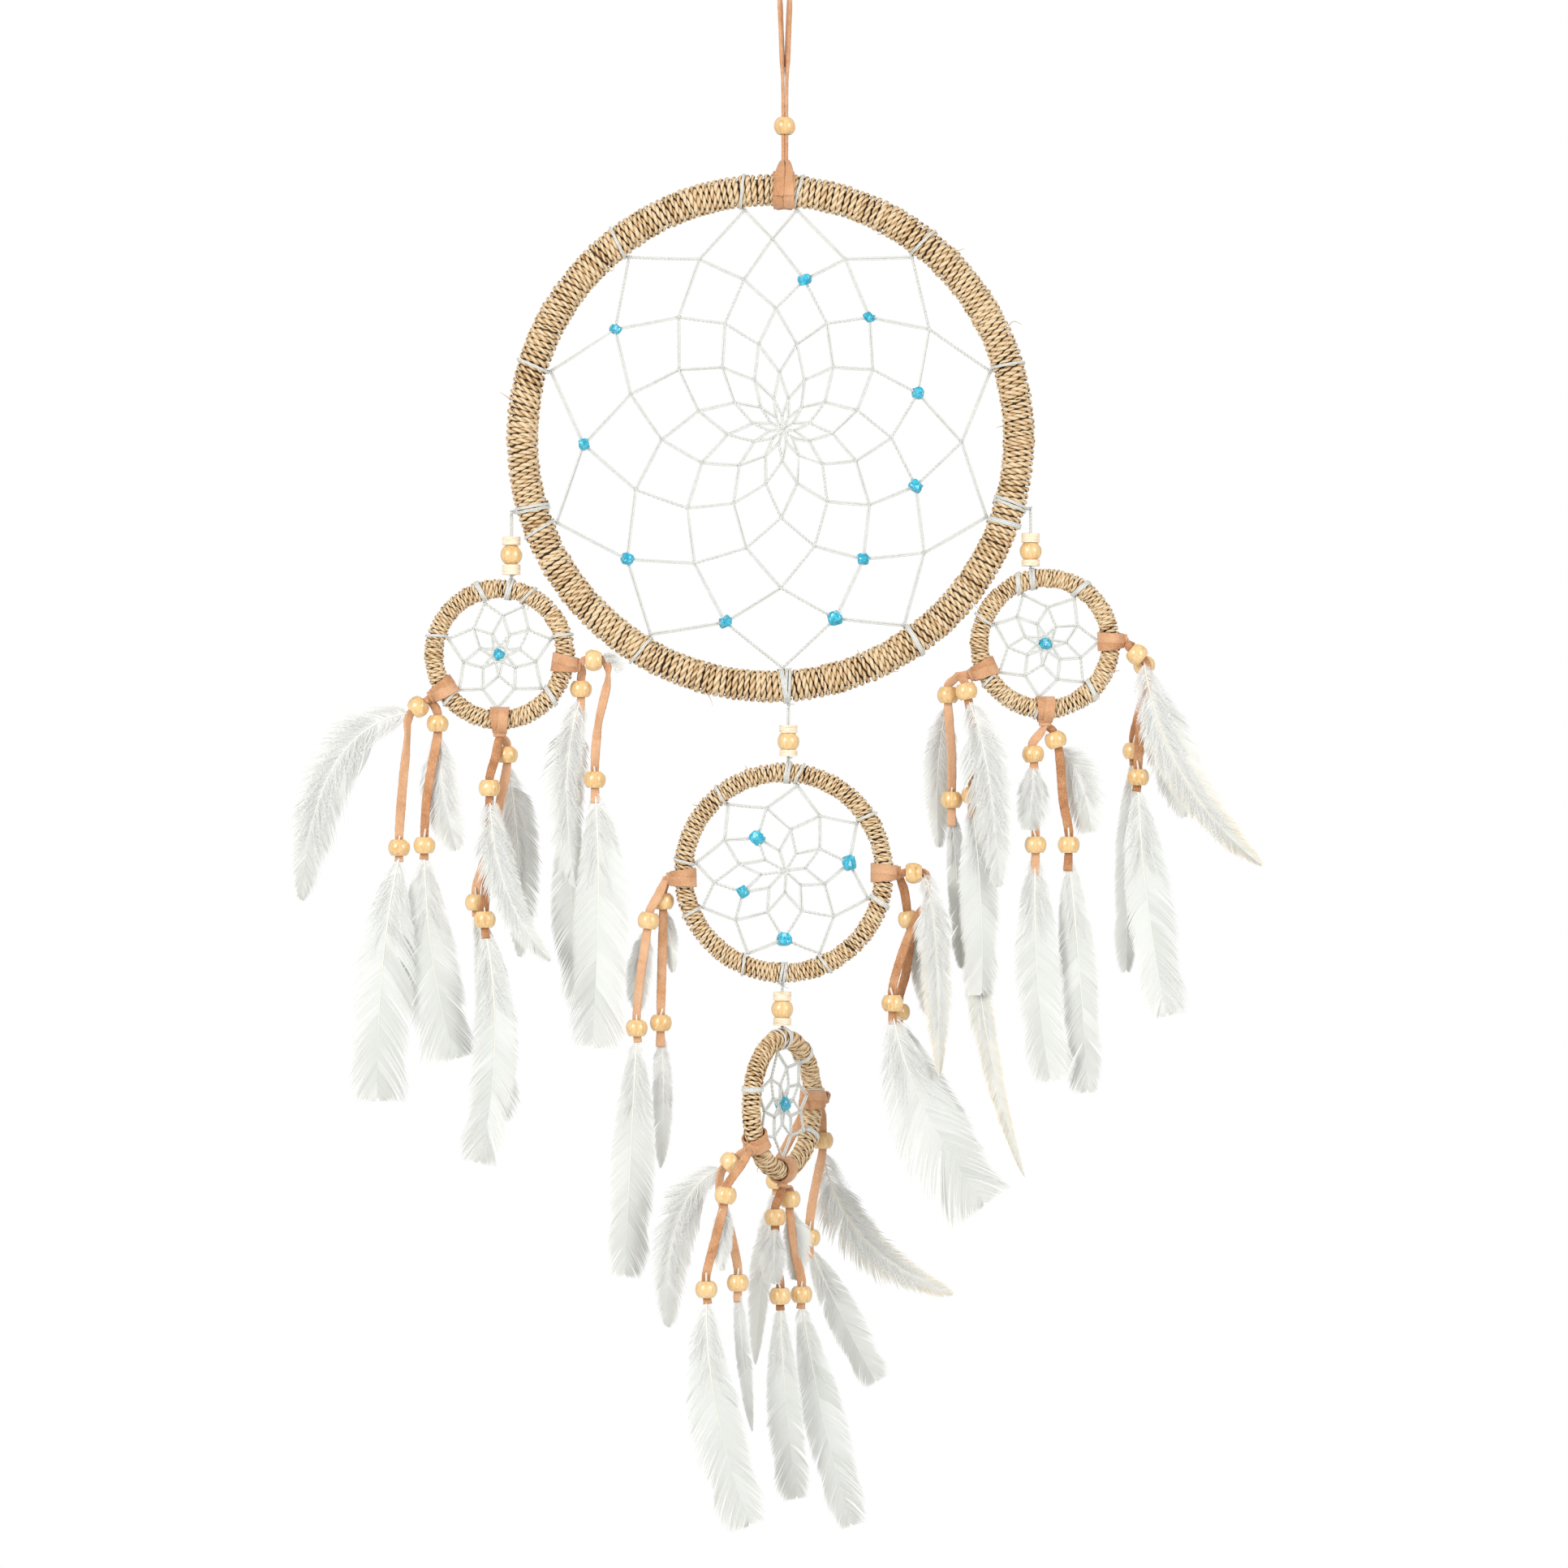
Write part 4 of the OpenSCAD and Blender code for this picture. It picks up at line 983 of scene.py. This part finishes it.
def feather_piece(name, body, line, side, size, skew, fluff, cream, round_tip, stub):
    """A feather of separate barbs on a tapered quill, with loose down at its foot."""
    rng = np.random.default_rng(abs(hash_name(name)))
    p = Piece(name, VANE, DOWN_FLUFF, QUILL)
    count = len(line)
    length = along(line[None])[0]
    total = length[-1]
    tangent = unit(np.gradient(line, axis=0))
    face = np.cross(tangent, side)
    face *= np.where((face @ FRONT)[:, None] < 0, -1.0, 1.0)
    bowed = 0.03 * total * np.sin(math.pi * length / total) * rng.uniform(-0.6, 1.0)
    line = line + bowed[:, None] * face

    def at(values, s):
        return np.stack([np.interp(s, length, values[:, i]) for i in range(values.shape[1])], -1)

    shaft = max(0.2, SHAFT_SHARE * total)
    p.tubes(line[None], np.linspace(shaft, 0.06, count), 6, 0.6, cream * 0.5, 2)
    if stub is not None:
        quill_stub(p, *stub, rng)

    def half_width(t):
        w = size / 2 * np.sin(math.pi * np.clip(t, 0.001, 1) ** skew) ** 0.7
        if round_tip:
            blunt = TIP_FULLNESS * np.sqrt(np.clip(1 - t, 0, 1)) * np.clip((t - 0.5) * 4, 0, 1)
            w = np.maximum(w, size / 2 * blunt)
            w = np.minimum(w, size / 2 * 1.02)
        return w

    begin = 0.05 + 0.12 * fluff
    for hand in (-1, 1):
        n = int(total * (1 - begin) / BARB_STEP)
        t = begin + (1 - begin) * (np.arange(n) + rng.uniform(-0.2, 0.2, n)) / n
        t = np.clip(t, begin, 0.995)
        group = np.cumsum(rng.uniform(0, 1, n) < 0.055)
        groups = group.max() + 1
        g_angle = rng.normal(0, 0.018, groups)
        g_lift = rng.normal(0, 0.12, groups)
        g_long = rng.normal(0, 0.035, groups)
        torn = rng.uniform(0, 1, groups) < 0.07
        g_angle = np.where(torn, g_angle + rng.choice([-1, 1], groups) * 0.12, g_angle)
        w = half_width(t) * (1 + 0.10 * hand * (1 if name_bit(name) else -1)) * (1 + g_long[group])
        w = w * (1 + rng.normal(0, 0.02 + 0.07 * fluff, n))
        w = np.maximum(w, 0.35)
        angle = np.radians(50 - 24 * t ** 2) + g_angle[group] + rng.normal(0, 0.012, n)
        steps = 7
        u = np.linspace(0, 1, steps)
        turned = angle[:, None] * (1.12 - 0.42 * u[None])
        reach = w[:, None] / np.sin(turned.mean(1))[:, None]
        du = 1 / (steps - 1)
        adv, out = summed(np.cos(turned), du), summed(np.sin(turned), du)
        s = t * total
        # A barb's end doesn't pass the feather's tip by more than a little
        spare = np.clip((total * 1.015 - s) / np.maximum(adv[:, -1] * reach[:, 0], 1e-6), 0.2, 1)
        adv, out = adv * reach * spare[:, None], out * reach * np.sqrt(spare)[:, None]
        base, tan, sid, fac = at(line, s), at(tangent, s), at(side, s), at(face, s)
        curl = 0.10 * out ** 2 / max(size / 2, 1) * rng.uniform(0.6, 1.4)
        lift = g_lift[group][:, None] * u[None] * 1.4 - curl + 0.12 * np.sin(u * 5 + group[:, None]) * u
        loose = np.clip(0.35 - t, 0, 1)[:, None] * fluff * 2
        lift = lift + loose * rng.normal(0, 1.2, (n, 1)) * u
        c = base[:, None] + adv[..., None] * tan[:, None] + hand * out[..., None] * sid[:, None]
        c = c + lift[..., None] * fac[:, None]
        taper = np.interp(u, [0, 0.6, 0.9, 1], [1.0, 0.95, 0.62, 0.16])
        wide = BARB_WIDTH * taper[None] * np.ones((n, 1))
        lean = unit(tan[:, None] + fac[:, None] * (0.30 + rng.normal(0, 0.05, (n, 1, 1))))
        edge_tint = cream * np.clip((u[None, :, None] - 0.1) * 1.2, 0, 1)
        edge_tint = edge_tint * np.clip(t * 1.6 - 0.3, 0, 1)[:, None, None]
        shade = np.clip(0.55 + rng.normal(0, 0.16, groups)[group][:, None] + 0.25 * (u[None] - 0.5), 0, 1)
        both = [np.repeat(v, 2, 2) for v in (shade[..., None], edge_tint)]
        p.ribbons(c, wide[..., None] * lean, *both, 0)

    # Loose down, thickest near the bead
    n = int(240 + 760 * fluff * (total / 70) ** 0.6)
    span = 0.2 + 0.55 * fluff
    t = span * rng.uniform(0, 1, n) ** 1.1 + 0.012
    hand = rng.choice([-1, 1], n)
    full = size / 2 * (1.05 + 0.15 * fluff) * np.clip(t / 0.10, 0.4, 1) ** 0.6 * (1 - 0.35 * t / span)
    w = np.maximum(half_width(t + 0.04), full) * rng.uniform(0.6, 1.15, n)
    angle = np.radians(52 + rng.normal(0, 7, n) - 14 * t / span)
    tilt = rng.normal(0, 0.2, n)
    steps = 9
    u = np.linspace(0, 1, steps)
    s = t * total
    base, tan, sid, fac = at(line, s), at(tangent, s), at(side, s), at(face, s)
    outward = unit(sid * hand[:, None] * np.cos(tilt)[:, None] + fac * np.sin(tilt)[:, None])
    adv = (np.cos(angle) * w)[:, None] * u + (0.42 * w)[:, None] * u ** 2
    out = (np.sin(angle) * w)[:, None] * (1.12 * u - 0.3 * u ** 2)
    c = base[:, None] + adv[..., None] * tan[:, None] + out[..., None] * outward[:, None]
    wave = rng.normal(0, 1, (n, 2, 3))
    for i, f in enumerate((2.6, 5.5)):
        swing = np.sin(u[None] * f + rng.uniform(0, TAU, (n, 1))) * u[None] * w[:, None] * 0.05 / (1 + i)
        c += swing[..., None] * wave[:, i][:, None]
    c += (u[None] ** 2 * w[:, None] * 0.10)[..., None] * DOWN
    thin = np.interp(u, [0, 0.5, 1], [0.10, 0.085, 0.02])
    cross = unit(tan[:, None] + fac[:, None] * rng.normal(0, 0.5, (n, 1, 1)))
    p.ribbons(c, thin[None, :, None] * cross, rng.uniform(0.35, 0.9, n), 0.0, 1)
    # Fine barbules on the outer half of each loose barb
    for k in range(4, steps - 1):
        for way in (-1, 1):
            root = c[:, k]
            d = unit(c[:, k + 1] - c[:, k - 1])
            lean = unit(np.cross(d, fac) * way * 0.8 + 0.9 * d + rng.normal(0, 0.18, (n, 3)))
            tip = root + lean * (rng.uniform(0.6, 1.4, n) * (0.5 + 0.5 * fluff))[:, None]
            strip = np.stack([root, (root + tip) / 2, tip], 1)
            q = unit(np.cross(lean, fac))[:, None] * np.array([0.04, 0.035, 0.01])[None, :, None]
            p.ribbons(strip, q, rng.uniform(0.5, 0.95, n), 0.0, 1)
    return p.finish(body)


def hash_name(name):
    value = 7
    for letter in name:
        value = (value * 131 + ord(letter)) % 1000003
    return value


def name_bit(name):
    return hash_name(name) % 2


# How far a stub of quill lies in front of its lace, and how much wider soft and firm feathers are than in CAD
STUB_OFFSET = 1.15
SPREAD = 0.25
FIRM_SIZE = 1.13


def pendant(name, data):
    h, angle, tails, feathers = data
    body = BODY_OF[name + "_beads"]
    joint = next(j for j in frame["joints"] if j["child"] == body)
    knot = np.array(joint["pos_m"]) / MM
    lace_band(name, h, angle, knot)
    for i, tail in enumerate(tails):
        tail = [np.array(tail[0], float), tail[1], np.array(tail[2], float), tail[3]]
        lace_tail(name, i, knot, tail, body)
    finish_cad(name + "_beads", BEAD)
    for i, f in enumerate(feathers):
        tail = tails[f[0]]
        at, tilt = (tail[0], tail[1]) if f[1] == 0 else (tail[2], 0)
        up = bore(tilt)[0]
        mouth = np.array(at, float) - (BEAD_H / 2 + 0.3) * up
        start = knot + np.array([mouth[0], f[2], mouth[2]])
        line, side = quill_line(start, f, at[1] - f[2], 44)
        firm = f[6] >= 0.8
        fluff = 0.16 if firm else 1.0 - 0.5 * (f[6] - 0.45) / 0.25
        cream = 0.75 if f[6] <= 0.45 or (i == 4) else 0.08
        top = knot + np.array(at, float) + (BEAD_H / 2 - 0.2) * up + STUB_OFFSET * FRONT
        stub = (top, up) if f[1] == 1 and i < 4 else None
        size = f[5] * (FIRM_SIZE if firm else 1 + SPREAD * fluff)
        feather_piece(f"{name}_feather_{i + 1}", body, line, side, size, f[6], fluff, cream,
                                  firm, stub)
    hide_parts(name + "_feathers")


def quill_stub(p, top, up, rng):
    """The cut end of a quill that stands out of a bead beside the lace."""
    lean = unit(up + rng.normal(0, 0.16, 3) + 0.25 * FRONT)
    line = spline([top - 2.0 * up, top, top + lean * rng.uniform(1.6, 4.2)], 8)
    p.tubes(line[None], np.linspace(0.62, 0.3, 8), 7, 0.7, 0.15, 2)


for link in LINKS:
    lo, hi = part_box(link[0] + "_link_beads")
    z = lo.z / MM
    low_disc, bead = link[3][:2]
    wood = bead_wood(link[0] + "_link_wood", (z + low_disc + 0.05, z + low_disc + bead + 0.15))
    finish_cad(link[0] + "_link_beads", wood)
for node in ("main_stones", "left_stone", "right_stone", "middle_stones", "lower_stone"):
    soften(finish_cad(node, TURQUOISE))
finish_cad("hanger_bead", BEAD)
hanger()
for name, data in PENDANTS.items():
    pendant(name, data)

# ---- Floor ----

floor_me = bpy.data.meshes.new("floor")
FLOOR_SIDES = 96
ring = [(0, 0, FLOOR_Z)]
for r in (0.8, 1.6, 2.4):
    ring += [(r * math.cos(a), r * math.sin(a), FLOOR_Z) for a in np.arange(FLOOR_SIDES) * TAU / FLOOR_SIDES]
nearby = [(i, (i + 1) % FLOOR_SIDES) for i in range(FLOOR_SIDES)]
faces = [(0, 1 + i, 1 + j) for i, j in nearby]
for k in range(2):
    b = 1 + FLOOR_SIDES * k
    faces += [(b + i, b + FLOOR_SIDES + i, b + FLOOR_SIDES + j, b + j) for i, j in nearby]
floor_me.from_pydata(ring, [], faces)
floor = bpy.data.objects.new("floor", floor_me)
scene.collection.objects.link(floor)
pale = Shader("pale_floor", Roughness=0.9)
tone = pale.noise(pale.place((3, 3, 3)), 2.0)
pale.feed("Base Color", pale.ramp(tone, [(0.3, (0.84, 0.84, 0.83)), (0.7, (0.87, 0.87, 0.86))]))
floor_me.materials.append(pale.made)
